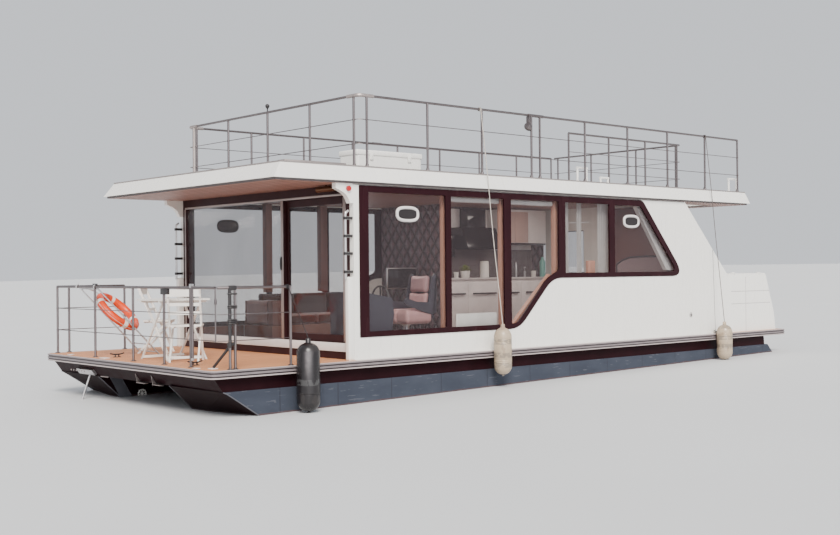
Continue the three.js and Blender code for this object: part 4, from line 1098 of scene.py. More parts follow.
def riding_light():
    """A ball on a collar at the rail's top, on its own short mast."""
    mesh = bmesh.new()
    foot = at(FRONT_RAIL, FRONT_POSTS[2], ROOF_RAIL_TOP)
    ball = [(0.031 * math.cos(math.radians(angle)), 0.088 + 0.031 * math.sin(math.radians(angle)))
            for angle in range(-50, 90, 20)]
    turned(mesh, [(0.0, 0.052), (0.016, 0.053), (0.018, 0.06), *ball, (0.0, 0.119)], foot, steps=24)
    rod(mesh, foot, foot + Vector((0, 0, 0.056)), 0.009, 12)
    finish_piece("riding_light", mesh, black_plastic)


def deck_lamp():
    """A bracket that hooks over the rail, and a round lamp turned to face the deck."""
    mesh = bmesh.new()
    x, y = station(5.42), RAIL_SIDE
    rod(mesh, (x, y, ROOF_RAIL_TOP - 0.01), (x, y, ROOF_RAIL_TOP - 0.11), 0.01, 10)
    box(mesh, (x - 0.03, y - 0.03, ROOF_RAIL_TOP - 0.13), (x + 0.03, y + 0.03, ROOF_RAIL_TOP - 0.015), 0.008)
    turned(mesh, [(0.0, 0.0), (0.045, 0.005), (0.055, 0.03), (0.055, 0.075), (0.042, 0.1), (0.0, 0.105)],
           (x - 0.02, y, ROOF_RAIL_TOP - 0.19), axis=(0.8, 0.2, 0.35), steps=20)
    finish_piece("deck_lamp", mesh, rail_steel)


riding_light()
deck_lamp()

# %% [markdown]
# The bow rail follows the terrace's edge. Its posts are plain tube on small flanges.
# The gate is a leaf like the rail beside it, between a hinge stile and an end stile.
# The lifebuoy's bent arm and its cradle hang on this rail too: two bars hook over the top tube and
# lean down to the deck, with three thin bars across.
# %% Bow rails, gate and cradle
BOW_WIRES = (1.085, 0.78)
BOW_FLANGE = [(0.0, 0.0), (0.038, 0.0), (0.038, 0.006), (0.022, 0.014), (0.0, 0.014)]
BUOY = dict(centre=Vector((5.46, -1.09, 1.046)), radius=0.3, tube=0.056, tilt=0.1,
            slope=Vector((-0.55, 0.485, -0.68)).normalized(), level=Vector((-0.663, -0.748, 0)))
BOW_FRONT, BOW_SIDE, BOW_BACK = 0.15, 2.175, 1.13
FRONT_STANDS = (-2.145, -0.965, 0.105, 0.9, 1.53)
GATE = dict(hinge=1.53, low=1.575, high=2.085, latch=2.125, bottom=0.56, top=1.408)
CRADLE_TOP, CRADLE_FOOT = (5.83, 1.381), (5.078, 0.4615)
CRADLE_BARS = ((-0.945, -0.641), (-1.474, -1.169))
HOOK = ((5.877, 1.37), (5.877, 1.405), (5.85, 1.422), (5.825, 1.4))


def bow_rail(name, corners, posts, bend=0.0):
    """corners and posts are (distance aft, y)."""
    mesh = bmesh.new()
    top = rounded_route([at(*corner, BOW_RAIL_TOP) for corner in corners], bend)
    add_tubes(mesh, [top, *[upright(*post, DECK_TOP, BOW_RAIL_TOP) for post in posts]], TUBE)
    wires = [rounded_route([at(*corner, z) for corner in corners], bend) for z in BOW_WIRES]
    add_tubes(mesh, wires, WIRE, 1)
    for post in posts:
        turned(mesh, BOW_FLANGE, at(*post, DECK_TOP), steps=16)
        for z in BOW_WIRES:
            ring(mesh, at(*post, z), (0, 0, 1), TUBE, 0.004, steps=14, sides=6)
    finish_piece(f"{name}_tubes", mesh, rail_steel, stands_for=[name])


bow_rail("bow_rail_front", [(BOW_FRONT, -2.12), (BOW_FRONT, GATE["hinge"])],
         [(BOW_FRONT, y) for y in FRONT_STANDS])
bow_rail("bow_rail_port", [(BOW_FRONT, GATE["latch"]), (0.285, BOW_SIDE), (BOW_BACK, BOW_SIDE)],
         [(0.285, BOW_SIDE), (0.355, BOW_SIDE), (BOW_BACK, BOW_SIDE)], 0.03)
bow_rail("bow_rail_starboard", [(BOW_FRONT, -2.12), (BOW_FRONT, -BOW_SIDE), (1.2, -BOW_SIDE)],
         [(0.335, -BOW_SIDE), (1.2, -BOW_SIDE)], 0.045)


def gate_lugs_and_arm():
    """The post and lugs that the gate turns in, and the lifebuoy's bent arm."""
    mesh = bmesh.new()
    x = station(BOW_FRONT)
    hinge = GATE["hinge"]
    rod(mesh, (x, hinge, BOW_RAIL_TOP - 0.03), (x, hinge, GATE["top"] + 0.028), TUBE - 0.002, 14)
    for low in (GATE["bottom"] - 0.03, GATE["top"] + GAP):
        box(mesh, (x - 0.01, hinge, low), (x + 0.01, GATE["low"] + 0.017, low + 0.027), 0.003)
    reach = BUOY["radius"] + BUOY["tube"]
    bend, rim = (BUOY["centre"] - BUOY["slope"] * (reach + beyond) for beyond in (0.045, GAP))
    arm = [(x, bend.y - 0.02, BOW_RAIL_TOP), bend, rim]
    add_tubes(mesh, [rounded_route(arm, 0.02)], 0.009, 3)
    finish_piece("bow_rail_fittings", mesh, bright_steel)


def cradle():
    """Two leaning bars between which the lifebuoy lies."""
    mesh = bmesh.new()
    bars = [(Vector((CRADLE_TOP[0], high, CRADLE_TOP[1])), Vector((CRADLE_FOOT[0], low, CRADLE_FOOT[1])))
            for high, low in CRADLE_BARS]
    for top, foot in bars:
        add_tubes(mesh, [[*[(x, top.y, z) for x, z in HOOK], top, foot]], 0.0115, 3)
        rod(mesh, foot, (foot.x, foot.y, DECK_TOP + GAP), 0.016, 12)
    for part in (0.02, 0.85, 0.97):
        rod(mesh, *[top.lerp(foot, part) for top, foot in bars], 0.009, 10)
    finish_piece("buoy_cradle", mesh, bright_steel)


def gate():
    """Stiles, top tube, two bars and the latch plate."""
    mesh = bmesh.new()
    x = station(BOW_FRONT)
    low, high = GATE["low"], GATE["high"]
    for bars, radius, sides in (([((low, GATE["bottom"]), (low, GATE["top"]))], 0.014, 3),
                                ([((low, BOW_RAIL_TOP), (high, BOW_RAIL_TOP))], TUBE, 3),
                                ([((high, 0.77), (high, BOW_RAIL_TOP))], 0.009, 2),
                                ([((low, z), (high, z)) for z in BOW_WIRES], WIRE, 2)):
        add_tubes(mesh, [[(x, y, z) for y, z in bar] for bar in bars], radius, sides)
    box(mesh, (x - 0.012, high - 0.012, 1.2), (x + 0.012, high + 0.02, 1.26), 0.004)
    finish_piece("bow_gate_tubes", mesh, rail_steel, "bow_gate", ["bow_gate"])


gate_lugs_and_arm()
cradle()
gate()

# %% [markdown]
# ## Rub rail and roof edge
# The rail round the deck is one extruded section: grey bands with grooves between them, the grooves painted
# dark as painted shade, and a pale line above and below that is a painted highlight. Its section is drawn
# once and swept round the deck's outline.
# The roof's edge has a thinner strip of its own, made by the same sweep. A pale cover runs along
# the deck's side edges, and the roof deck is laid with grey panels that leave the stair's opening free.
# %% Sweep the edges
DECK_END = 12.0
DECK_HALF = 2.2055
WALL_FACE = 2.1415
UPPER_GROOVE, LOWER_GROOVE = 0.418, 0.378
# Below the first height and above the second the rail is painted pale, as a painted highlight.
HIGHLIGHT_BEAD_TOP, HIGHLIGHT_EDGE = 0.3695, 0.4445
RAIL_SECTION = [(-0.0295, 0.449), (-0.007, 0.449), (0.0, 0.443), (0.0, 0.428), (-0.01, 0.424), (-0.01, 0.412),
                (0.0, 0.408), (0.0, 0.388), (-0.01, 0.384), (-0.01, 0.372), (0.0, 0.368), (0.0, 0.357),
                (-0.004, 0.353), (-0.0295, 0.353)]
ROOF_PANELS = [(along, across) for along in ((1.25, 4.3), (4.32, 7.4), (7.42, 10.7))
               for across in ((-2.0, -0.68), (-0.66, 0.66), (0.68, 2.0))
               if not (along[0] > 7 and across[0] > 0)]
ROOF_FRONT, ROOF_BACK, ROOF_HALF = 1.027, 10.921, 2.131
EDGE_SECTION = [(-0.05, 2.8865), (0.004, 2.8865), (0.004, 2.899), (-0.002, 2.904), (-0.05, 2.904)]


def sweep(mesh, path, section, closed=False):
    """The section, given as (outwards, z), carried round a level path; left of the path is outside."""
    rings = []
    count = len(path)
    for index, here in enumerate(path):
        entry = here - path[index - 1] if index or closed else path[1] - here
        leave = path[(index + 1) % count] - here if index < count - 1 or closed else entry
        ahead = (entry.normalized() + leave.normalized()).normalized()
        out = Vector((-ahead.y, ahead.x, 0)) / max(ahead.dot(leave.normalized()), 0.3)
        rings.append([mesh.verts.new(here + out * away + Vector((0, 0, z))) for away, z in section])
    pairs = list(zip(rings, rings[1:])) + ([(rings[-1], rings[0])] if closed else [])
    for first, second in pairs:
        for index in range(len(section)):
            after = (index + 1) % len(section)
            mesh.faces.new((first[index], second[index], second[after], first[after]))
    if not closed:
        mesh.faces.new(rings[0])
        mesh.faces.new(rings[-1])


def rubber_with_painted_light():
    """Grey rubber, painted dark in its grooves as painted shade, with a painted highlight along the rounded
    foot and along the top edge.
    """
    finish = keep(Finish("rubber_with_painted_light", (0.17, 0.145, 0.15), 0.45))
    _, _, z = finish.axes()
    # Painted shade in the grooves and painted highlights on the foot and the top edge; the scuffs are real
    # wear.
    groove = (z - UPPER_GROOVE).size().smaller((z - LOWER_GROOVE).size()).below(0.007)
    bead = z.below(HIGHLIGHT_BEAD_TOP).larger(z.above(HIGHLIGHT_EDGE))
    scuff = finish.noise(30.0, 4.0, (0.3, 0.3, 1))
    colour = finish.blend(bead, finish.shade(scuff, 0.7, 1.5), (0.42, 0.36, 0.35))
    finish.set("Base Color", finish.blend(groove, colour, (0.02, 0.011, 0.013)))
    finish.set("Roughness", scuff * 0.3 + 0.3)
    finish.bump(scuff, 0.001, 0.4)
    return finish


rail_painted_light = rubber_with_painted_light()
mesh = bmesh.new()
hull_outline = [at(DECK_END, RUB_RAIL, 0), at(0, RUB_RAIL, 0), at(0, -RUB_RAIL, 0),
                at(DECK_END, -RUB_RAIL, 0)]
sweep(mesh, rounded_route(hull_outline, 0.12, 6), RAIL_SECTION)
finish_piece("rub_rail_bands", mesh, rail_painted_light, stands_for=["rub_rail"])
mesh = bmesh.new()
roof_outline = [at(ROOF_BACK, ROOF_HALF, 0), at(ROOF_FRONT, ROOF_HALF, 0), at(ROOF_FRONT, -ROOF_HALF, 0),
                at(ROOF_BACK, -ROOF_HALF, 0)]
sweep(mesh, roof_outline, EDGE_SECTION, closed=True)
box(mesh, at(2.06, 1.93, 2.887), at(1.12, 2.1, 2.925), 0.01)
finish_piece("roof_edge_strip", mesh, frame_alloy)
cover_z = (DECK_TOP + GAP, DECK_TOP + 0.006)
box_piece("deck_edge_cover", trim_white, "hull_white",
          *[(at(9.9, min(edges), cover_z[0]), at(2.11, max(edges), cover_z[1]), 0.002)
            for edges in ((WALL_FACE + 0.002, DECK_HALF), (-WALL_FACE - 0.002, -DECK_HALF))])
box_piece("roof_deck_panels", roof_grey, "furniture_white",
          *[(at(end, low, ROOF_TOP + GAP), at(start, high, ROOF_TOP + 0.004), 0.0015)
            for (start, end), (low, high) in ROOF_PANELS])

# %% [markdown]
# ## Float edges and bow details
# A dark float shows its shape by the light on its edges: a pale bead runs down each stem and chine as a
# painted highlight, and a thin plate with a bead of its own, in the same pale finish, skirts the starboard
# float's inner side.
# Under the deck's front edge are two bent brackets, the ladder's row of bolt heads and a short bar; the
# thruster's tunnel in the starboard float has a round guard with blades on the inner side.
# %% Edges, brackets and the thruster's guard
STEM = [(0.185, 0.19), (0.62, -0.23), (0.8, -0.295)]
CHINE = [(0.205, 0.19), (0.262, 0.165), (0.76, -0.16)]
SKIRT = [(0.327, 0.2), (0.495, 0.18), (0.748, -0.245), (0.56, -0.236)]
GUARD = (0.824, -0.092, 0.058)
BLADES = 8
BOLT_HEAD = [(0.0, 0.0), (0.012, 0.0), (0.012, 0.004), (0.006, 0.008), (0.0, 0.009)]
HUB = [(0.0, -0.006), (0.017, -0.006), (0.017, 0.004), (0.01, 0.009), (0.0, 0.01)]


def float_edges():
    mesh = bmesh.new()
    for side in (1, -1):
        stem = [at(place, side * 0.952, z) for place, z in STEM]
        chine = [at(place, side * 2.148, z) for place, z in CHINE]
        add_tubes(mesh, [stem, chine], 0.007)
    plate(mesh, [at(place, -0.9498, z) for place, z in SKIRT], (0, 0.0035, 0))
    add_tubes(mesh, [[at(place, -0.945, z) for place, z in SKIRT[1:3]]], 0.006, 1)
    finish_piece("float_edge_beads", mesh, painted_edge_highlight)


def under_bow():
    """Bent brackets, bolt heads and a short bar on the sloping bow face."""
    mesh = bmesh.new()
    for low, high in ((0.19, 0.4), (0.6, 0.8)):
        plate(mesh, [at(0.125, low, 0.3), at(0.15, low, 0.186), at(0.2, low, 0.186)], (0, 0.006, 0))
        box(mesh, at(0.2, low, 0.18), at(0.14, high, 0.188), 0.002)
    rod(mesh, at(0.15, -0.81, 0.2), at(0.17, -0.63, 0.2), 0.008, 10)
    for y in (-1.45, -1.37, -1.29, -1.21, -1.13, -1.05):
        turned(mesh, BOLT_HEAD, at(0.03, y, 0.262), axis=(1, 0, 0), steps=10)
    finish_piece("bow_face_brackets", mesh, frame_alloy)


def thruster_guard():
    """A ring with bent blades, made in one and screwed over the tunnel."""
    mesh = bmesh.new()
    place, z, radius = GUARD
    centre = at(place, -0.945, z)
    ring(mesh, centre, (0, 1, 0), radius, 0.009, steps=32, sides=8)
    turned(mesh, HUB, centre, (0, 1, 0), 16)
    for step in range(BLADES):
        turn = step * math.tau / BLADES
        spoke = [centre + Vector((math.cos(turn + bend) * reach, 0, math.sin(turn + bend) * reach))
                 for reach, bend in ((0.012, 0.0), (0.032, 0.25), (radius, 0.75))]
        add_tubes(mesh, [spoke], 0.0055, 1)
    finish_piece("thruster_guard", mesh, white_paint)


# A pale grey, much lighter than the float, that stands in for the light on the edges: a painted highlight.
painted_edge_highlight = cast("painted_edge_highlight", (0.1, 0.1, 0.115), 0.45, 0.2)
float_edges()
under_bow()
thruster_guard()

# %% [markdown]
# ## Deck fittings
# Horn cleats stand near the deck's corners, each a bar with turned-up ends on two feet.
# A black strut props the pair of posts at the port corner, and black clamps hold the top tube.
# %% Cleats, strut and clamps
CLEATS = [(0.34, -0.72), (0.34, 1.3), (9.99, 2.168), (9.99, -2.168)]
HORN = ((-0.1, 0.502), (-0.05, 0.488), (0, 0.485), (0.05, 0.488), (0.1, 0.502))


def cleats():
    mesh = bmesh.new()
    for place, y in CLEATS:
        x = station(place)
        box(mesh, (x - 0.05, y - 0.022, DECK_TOP + GAP), (x + 0.05, y + 0.022, DECK_TOP + 0.008), 0.003)
        for foot in (-0.028, 0.028):
            rod(mesh, (x + foot, y, DECK_TOP + 0.006), (x + foot * 0.8, y, DECK_TOP + 0.04), 0.009, 10)
        add_tubes(mesh, [[(x + out, y, z) for out, z in HORN]], 0.009)
    finish_piece("deck_cleats", mesh, black_plastic)


def bow_clamps():
    """Hinged clamps round the top tube at the posts, and the strut with its crossbar."""
    mesh = bmesh.new()
    x = station(BOW_FRONT)
    top = BOW_RAIL_TOP
    box(mesh, at(0.37, BOW_SIDE - 0.024, top - 0.03), at(0.27, BOW_SIDE + 0.024, top + 0.025), 0.01)
    box(mesh, (x - 0.026, 0.85, top - 0.085), (x + 0.026, 1.0, top - 0.014), 0.008)
    box(mesh, (x - 0.01, -1.02, top + 0.012), (x + 0.01, -0.9, top + 0.045), 0.003)
    head, reach = at(0.32, 2.155, 0.74), Vector((0.05, 0, 0))
    rod(mesh, head, at(0.2, 1.95, DECK_TOP + 0.02), 0.017, 12)
    rod(mesh, head + reach, head - reach, 0.024, 12)
    add_tubes(mesh, [upright(0.285, BOW_SIDE, 0.7, BOW_RAIL_TOP)], TUBE + 0.003, 3)
    for z in (0.98, 1.0, 1.02, 1.16, 1.18, 1.32):
        ring(mesh, at(0.32, BOW_SIDE, z), (0, 0, 1), 0.03, 0.009, steps=24, sides=8, stretch=1.8)
    finish_piece("bow_rail_clamps", mesh, black_plastic)


cleats()
bow_clamps()
FOOT_PLATES = ((0.24, 0.15, 1.9, 1.99, 0.012), (0.16, 0.07, -0.7, -0.56, 0.01),
               (0.12, 0.06, -1.65, -1.55, 0.01), (0.12, 0.06, 1.7, 1.8, 0.01))
box_piece("deck_foot_plates", trim_white, "rail_steel",
          *[(at(back, low, DECK_TOP + GAP), at(front, high, DECK_TOP + thick), 0.004)
            for back, front, low, high, thick in FOOT_PLATES])

# %% [markdown]
# ## Cabin front
# Thin alloy strips lie over the dark frame: at the head, at both jambs and on the post where door
# and pane meet, which also carries a black lock lever. The sill is white.
# The door's port stile has a thin cover and a paler pull plate, which ride on the door's own body.
# The grab tubes beside the front stand in black clamps over a white moulding that hides cables.
# %% Alloy rails, stiles and grab tubes
FRONT_FACE = 2.1297
DOOR_FACE = 2.1827
CLAMP_HEIGHTS = (1.56, 1.79, 2.01, 2.235)
LEVER = ((-0.006, 1.6), (0.006, 1.62), (0.011, 1.68), (0.006, 1.745), (-0.006, 1.765))


def strip(face, low, high, bottom, top, thick, edge=0.003):
    """The corners and the edge of a flat strip that stands out from a face of the cabin's front."""
    return at(face, low, bottom), at(face - thick, high, top), edge


def door_lock():
    """The black lock lever on the meeting post."""
    mesh = bmesh.new()
    x, y = station(FRONT_FACE) + 0.012, 0.563
    add_tubes(mesh, [[(x + out, y, z) for out, z in LEVER]], 0.012, 3)
    box(mesh, (x - 0.004, y - 0.016, 1.59), (x + 0.003, y + 0.016, 1.775), 0.003)
    finish_piece("door_lock", mesh, black_plastic)


def grab_tubes(side):
    """A grab tube, the clamps that hold it and the moulding below."""
    mesh = bmesh.new()
    x, y = station(2.03), side * 2.102
    route = [(x, y, 1.47), (x, y, 2.3), (x - 0.045, y, 2.33)]
    add_tubes(mesh, [rounded_route(route, 0.02)], 0.0155, 3)
    finish_piece(f"grab_tube_{word(side)}", mesh, bright_steel)
    box_piece(f"grab_clamps_{word(side)}", black_plastic, "lamp_black",
              *[(at(2.1365, y - 0.0215, z - 0.0195), (x + 0.02, y + 0.0215, z + 0.0195), 0.006)
                for z in CLAMP_HEIGHTS])
    box_piece(f"cable_moulding_{word(side)}", white_gelcoat, "hull_white",
              (at(2.137, y - 0.0395, DECK_TOP + GAP), at(2.041, y + 0.0395, 1.497), 0.018, 4))


box_piece("front_rails", frame_alloy, "rail_steel",
          strip(FRONT_FACE, -1.99, 1.99, 2.532, 2.56, 0.008),
          strip(FRONT_FACE, -2.0, -1.972, 0.655, 2.53, 0.01),
          strip(FRONT_FACE, 1.955, 1.985, 0.655, 2.53, 0.01),
          strip(FRONT_FACE, 0.553, 0.607, 0.656, 2.53, 0.01, 0.004))
box_piece("front_sill", trim_white, "rail_steel", strip(FRONT_FACE, -1.99, 1.99, 0.545, 0.655, 0.014, 0.004))
box_piece("door_stile_cover", frame_alloy, "rail_steel",
          strip(DOOR_FACE, 1.853, 1.944, 0.66, 2.515, 0.003, 0.001), body="sliding_door")
box_piece("door_pull_plate", trim_white, "rail_steel",
          *[strip(DOOR_FACE - 0.0025, 1.878, 1.925, low, high, 0.002, 0.0008)
            for low, high in ((0.7, 1.335), (1.345, 2.2))], body="sliding_door")
door_lock()
for side in (1, -1):
    grab_tubes(side)

# %% [markdown]
# ## Vents, seams and small fittings on the walls
# Two oval vents are let into the glass on each side: a dark mesh in a ring, pale to port and black
# to starboard. The wall has a skin vent, and a rubber line where it meets the locker;
# the aft wall's window and the door's window get their panes and gaskets.
# %% Vents, seams and the aft panes
PANE_FACE = 2.1277
AFT_PANE = 9.195
VENTS = {1: [(3.035, 2.308), (7.71, 2.314)], -1: [(2.97, 2.302), (7.71, 2.314)]}
SKIN_VENT = (9.264, 0.789)
SKIN_RIM = [(0.0, 0.0), (0.034, 0.0), (0.034, 0.003), (0.024, 0.007), (0.02, 0.003), (0.0, 0.003)]
SKIN_PLUG = [(0.0, 0.0), (0.021, 0.0), (0.021, 0.0045), (0.0, 0.0045)]
SCREW = [(0.0, 0.0), (0.007, 0.0), (0.006, 0.003), (0.0, 0.004)]
VENT_HALF, VENT_RISE = 0.178, 0.085


def oblong(place, y, z):
    """Points round an oblong with full round ends, a little squarer than an oval."""
    points = []
    for step in range(48):
        turn = step / 48 * math.tau
        across, rise = math.cos(turn), math.sin(turn)
        points.append(Vector((station(place) + VENT_HALF * math.copysign(abs(across) ** 0.7, across), y,
                              z + VENT_RISE * math.copysign(abs(rise) ** 0.7, rise))))
    return points


def pane_vents(side):
    rims, screens = bmesh.new(), bmesh.new()
    y = side * (PANE_FACE + 0.004)
    for place, z in VENTS[side]:
        loop = oblong(place, y, z)
        add_tubes(rims, [[*loop, loop[0]]], 0.021, 3)
        plate(screens, oblong(place, y - side * 0.004, z), (0, side * 0.009, 0))
        for level in (-0.04, 0.0, 0.04):
            box(screens, at(place + 0.15, y - 0.004, z + level - 0.003),
                at(place - 0.15, y + side * 0.008, z + level + 0.003))
    rim_finish = trim_white if side > 0 else black_plastic
    finish_piece(f"pane_vent_rims_{word(side)}", rims, rim_finish)
    finish_piece(f"pane_vent_screens_{word(side)}", screens, vent_mesh)


def wall_fittings():
    """The skin vents' rims and the screws along the foot of the walls, and the vents' seals."""
    place, z = SKIN_VENT
    fittings, seals = bmesh.new(), bmesh.new()
    for side in (1, -1):
        out = (0, side, 0)
        y = side * (WALL_FACE + 0.0007)
        turned(fittings, SKIN_RIM, at(place, y, z), out, 24)
        for screw in (2.16, 2.6, 4.4, 5.5, 9.3):
            turned(fittings, SCREW, at(screw, y, 0.5), out, 10)
        centre = at(place, side * (WALL_FACE + 0.0009), z)
        turned(seals, SKIN_PLUG, centre, out, 24)
        ring(seals, centre, (0, 1, 0), 0.036, 0.004, steps=28, sides=8)
    finish_piece("wall_fittings", fittings, trim_white)
    finish_piece("skin_vent_seals", seals, black_plastic)


def wall_seams():
    mesh = bmesh.new()
    for side in (1, -1):
        y = side * WALL_FACE
        add_tubes(mesh, [[at(9.907, y, 1.878), at(9.967, y, DECK_TOP + 0.004)],
                         [at(2.12, y, 2.662), at(9.1, y, 2.662)]], 0.0045, 1)
    finish_piece("wall_seams", mesh, black_plastic)


def framed_pane(name, low, high, bottom, top, body="boat"):
    """A pane with its gasket, in an opening of the aft wall or the aft door."""
    x = station(AFT_PANE)
    mesh = bmesh.new()
    plate(mesh, [(x, low, bottom), (x, high, bottom), (x, high, top), (x, low, top)], (0.006, 0, 0))
    finish_piece(f"{name}_pane", mesh, window_glass, body=body)
    mesh = bmesh.new()
    loop = rounded_route([(x, (low + high) / 2, bottom), (x, high, bottom), (x, high, top), (x, low, top),
                          (x, low, bottom), (x, (low + high) / 2, bottom)], 0.03, 5)
    add_tubes(mesh, [loop], 0.016)
    finish_piece(f"{name}_gasket", mesh, black_plastic, body=body)


vent_mesh = cast("vent_mesh", (0.012, 0.008, 0.009), 0.6, grain=700.0)
for side in (1, -1):
    pane_vents(side)
wall_fittings()
wall_seams()
framed_pane("aft_window", -1.85, -1.0, 1.5, 2.42)
framed_pane("aft_door_window", -0.6, -0.09, 1.5, 2.27, "aft_door")

# %% [markdown]
# ## Roof chest
# The chest's lid overlaps its sides like a box of the moulded kind, with a shadow line under it,
# and two straps go over it.
# %% Lid and straps
CHEST = dict(front=3.21, back=4.42, low=0.46, high=0.87, top=3.275)


def chest_lid():
    front, back, low, high, top = CHEST.values()
    over = 0.012
    lid = (at(back + over, low - over, top - 0.075), at(front - over, high + over, top + 0.008), 0.022, 3)
    straps = [(at(place + 0.03, high + 0.01, top - 0.13), at(place - 0.03, high + 0.02, top - 0.03), 0.005)
              for place in (front + 0.25, back - 0.25)]
    box_piece("roof_chest_lid", roof_gelcoat, "furniture_white", lid, *straps)


chest_lid()

# %% [markdown]
# ## Stuffed pieces
# A cushion is foam in a sewn cover: it bulges between its seams and is flat only where it rests,
# and the same holds for a padded headboard.
# Each starts as a box a little too small, is remeshed into even small squares, and is blown up
# by the cloth solver with gravity off. How far a point may move is capped, so that corners stay put.
# %% Cushions blown up as cloth
CLOTH_FRAMES = 20
PRESSURE = 4.0
SEAM_PULL, SEAM_WIDTH = 0.12, 0.012


def blown(mesh, voxel, cap):
    data = bpy.data.meshes.new("pad")
    mesh.to_mesh(data)
    mesh.free()
    holder = bpy.data.objects.new("pad", data)
    bpy.context.scene.collection.objects.link(holder)
    remesh = holder.modifiers.new("remesh", "REMESH")
    remesh.mode = "VOXEL"
    remesh.voxel_size = voxel
    even = settled(holder)
    holder.modifiers.clear()
    holder.data = even
    before = [vert.co.copy() for vert in even.vertices]
    cloth = holder.modifiers.new("cloth", "CLOTH")
    cloth.settings.use_pressure = True
    cloth.settings.uniform_pressure_force = PRESSURE
    cloth.settings.effector_weights.gravity = 0
    cloth.point_cache.frame_start = 1
    cloth.point_cache.frame_end = CLOTH_FRAMES
    for moment in range(1, CLOTH_FRAMES + 1):
        bpy.context.scene.frame_set(moment)
    swollen = settled(holder)
    for vert, start in zip(even.vertices, before):
        move = swollen.vertices[vert.index].co - start
        vert.co = start + move * min(1, cap / max(move.length, 1e-9))
    bpy.context.scene.frame_set(1)
    bpy.data.meshes.remove(swollen)
    bpy.data.objects.remove(holder)
    puffed = bmesh.new()
    puffed.from_mesh(even)
    return puffed


def cushion(name, low, high, finish, voxel=0.012, cap=0.014, lean=0.0, seams=(), soft=0.022):
    """A cushion between two corners, leaned about the y axis; seams are (axis, place) lines drawn in."""
    shrink = Vector((0.008, 0.008, 0.008))
    mesh = bmesh.new()
    box(mesh, low + shrink, high - shrink, soft, 4 if soft > 0.03 else 3)
    mesh = blown(mesh, voxel, cap)
    middle = (low + high) / 2
    for vert in mesh.verts:
        for axis, place in seams:
            pull = SEAM_PULL * math.exp(-((vert.co[axis] - place) / SEAM_WIDTH) ** 2)
            vert.co = vert.co + (middle - vert.co) * pull
        vert.co.z = max(vert.co.z, low.z + 0.001)
    turn = Matrix.Rotation(lean, 3, "Y")
    bmesh.ops.rotate(mesh, cent=(middle.x, middle.y, low.z), matrix=turn, verts=mesh.verts[:])
    bmesh.ops.smooth_vert(mesh, verts=mesh.verts[:], factor=0.5, use_axis_x=True, use_axis_y=True,
                          use_axis_z=True)
    piece = finish_piece(name, mesh, finish)
    finer = piece.modifiers.new("finer", "SUBSURF")
    finer.levels = finer.render_levels = 1
    return piece


# %% [markdown]
# ## Helm seat
# The helm seat is a pedestal chair in dusky pink leather: a pad, and a back in two rolls,
# the upper one darker, between grey side shells.
# %% Seat pad, back rolls and pedestal
SEAT = dict(front=3.42, back=3.93, low=1.15, high=1.65, under=0.83, top=1.03)
SEAT_MIDDLE = 1.4
BACK_LEAN = -0.09
SHELL = 0.028
SHELL_SIDE = [(3.385, 1.135), (3.395, 1.175), (3.43, 1.19), (3.62, 1.14), (3.83, 1.13), (3.9, 1.47),
              (3.945, 1.525), (3.985, 1.49), (3.97, 0.99), (3.92, 0.95), (3.78, 0.985), (3.6, 1.045),
              (3.43, 1.095)]
SHELL_BACK = [(3.905, 0.9), (3.925, 0.9), (3.985, 1.49), (3.965, 1.49)]
PEDESTAL = [(0.0, 0.0), (0.18, 0.0), (0.18, 0.012), (0.06, 0.03), (0.041, 0.06), (0.041, 0.33), (0.07, 0.355),
            (0.11, 0.368), (0.0, 0.368)]


def helm_seat():
    front, back, low, high, under, top = SEAT.values()
    seam = ((1, SEAT_MIDDLE),)
    cushion("helm_seat_pad", at(back, low + 0.02, under), at(front, high + 0.01, top), seat_pale,
            seams=seam, soft=0.055)
    cushion("helm_back_low", at(3.9, low + 0.05, 1.035), at(3.81, high - 0.05, 1.27), seat_pale,
            voxel=0.01, lean=BACK_LEAN, seams=seam, soft=0.035)
    cushion("helm_back_high", at(3.935, low + 0.06, 1.245), at(3.825, high - 0.06, 1.51), seat_leather,
            voxel=0.01, lean=BACK_LEAN, soft=0.052)
    mesh = bmesh.new()
    turned(mesh, PEDESTAL, at(3.63, SEAT_MIDDLE, 0.466), steps=32)
    finish_piece("helm_seat_pedestal", mesh, bright_steel, stands_for=["helm_seat"])
    mesh = bmesh.new()
    for outline, y, thick in ((SHELL_SIDE, low, SHELL), (SHELL_SIDE, high - SHELL, SHELL),
                              (SHELL_BACK, low, high - low)):
        plate(mesh, [at(place, y, z) for place, z in outline], (0, thick, 0))
    finish_piece("helm_seat_shell", mesh, console_grey)


seat_pale = leather("seat_pale", (0.56, 0.31, 0.3), 0.4)
helm_seat()

# %% [markdown]
# ## Sofa and berth
# Both stand on boarded bases along the starboard side. The sofa has three seat and three back
# cushions, and at its forward end a padded arm with a brown wooden end towards the room;
# the berth has a mattress and two pillows.
# %% Sofa and berth
ROOM_FLOOR = 0.4655
SOFA = dict(front=3.2, back=5.4, wall=-2.03, face=-1.25)
SOFA_SEATS = 3
BERTH = dict(front=6.9, back=9.14, wall=-2.03, face=-1.112)


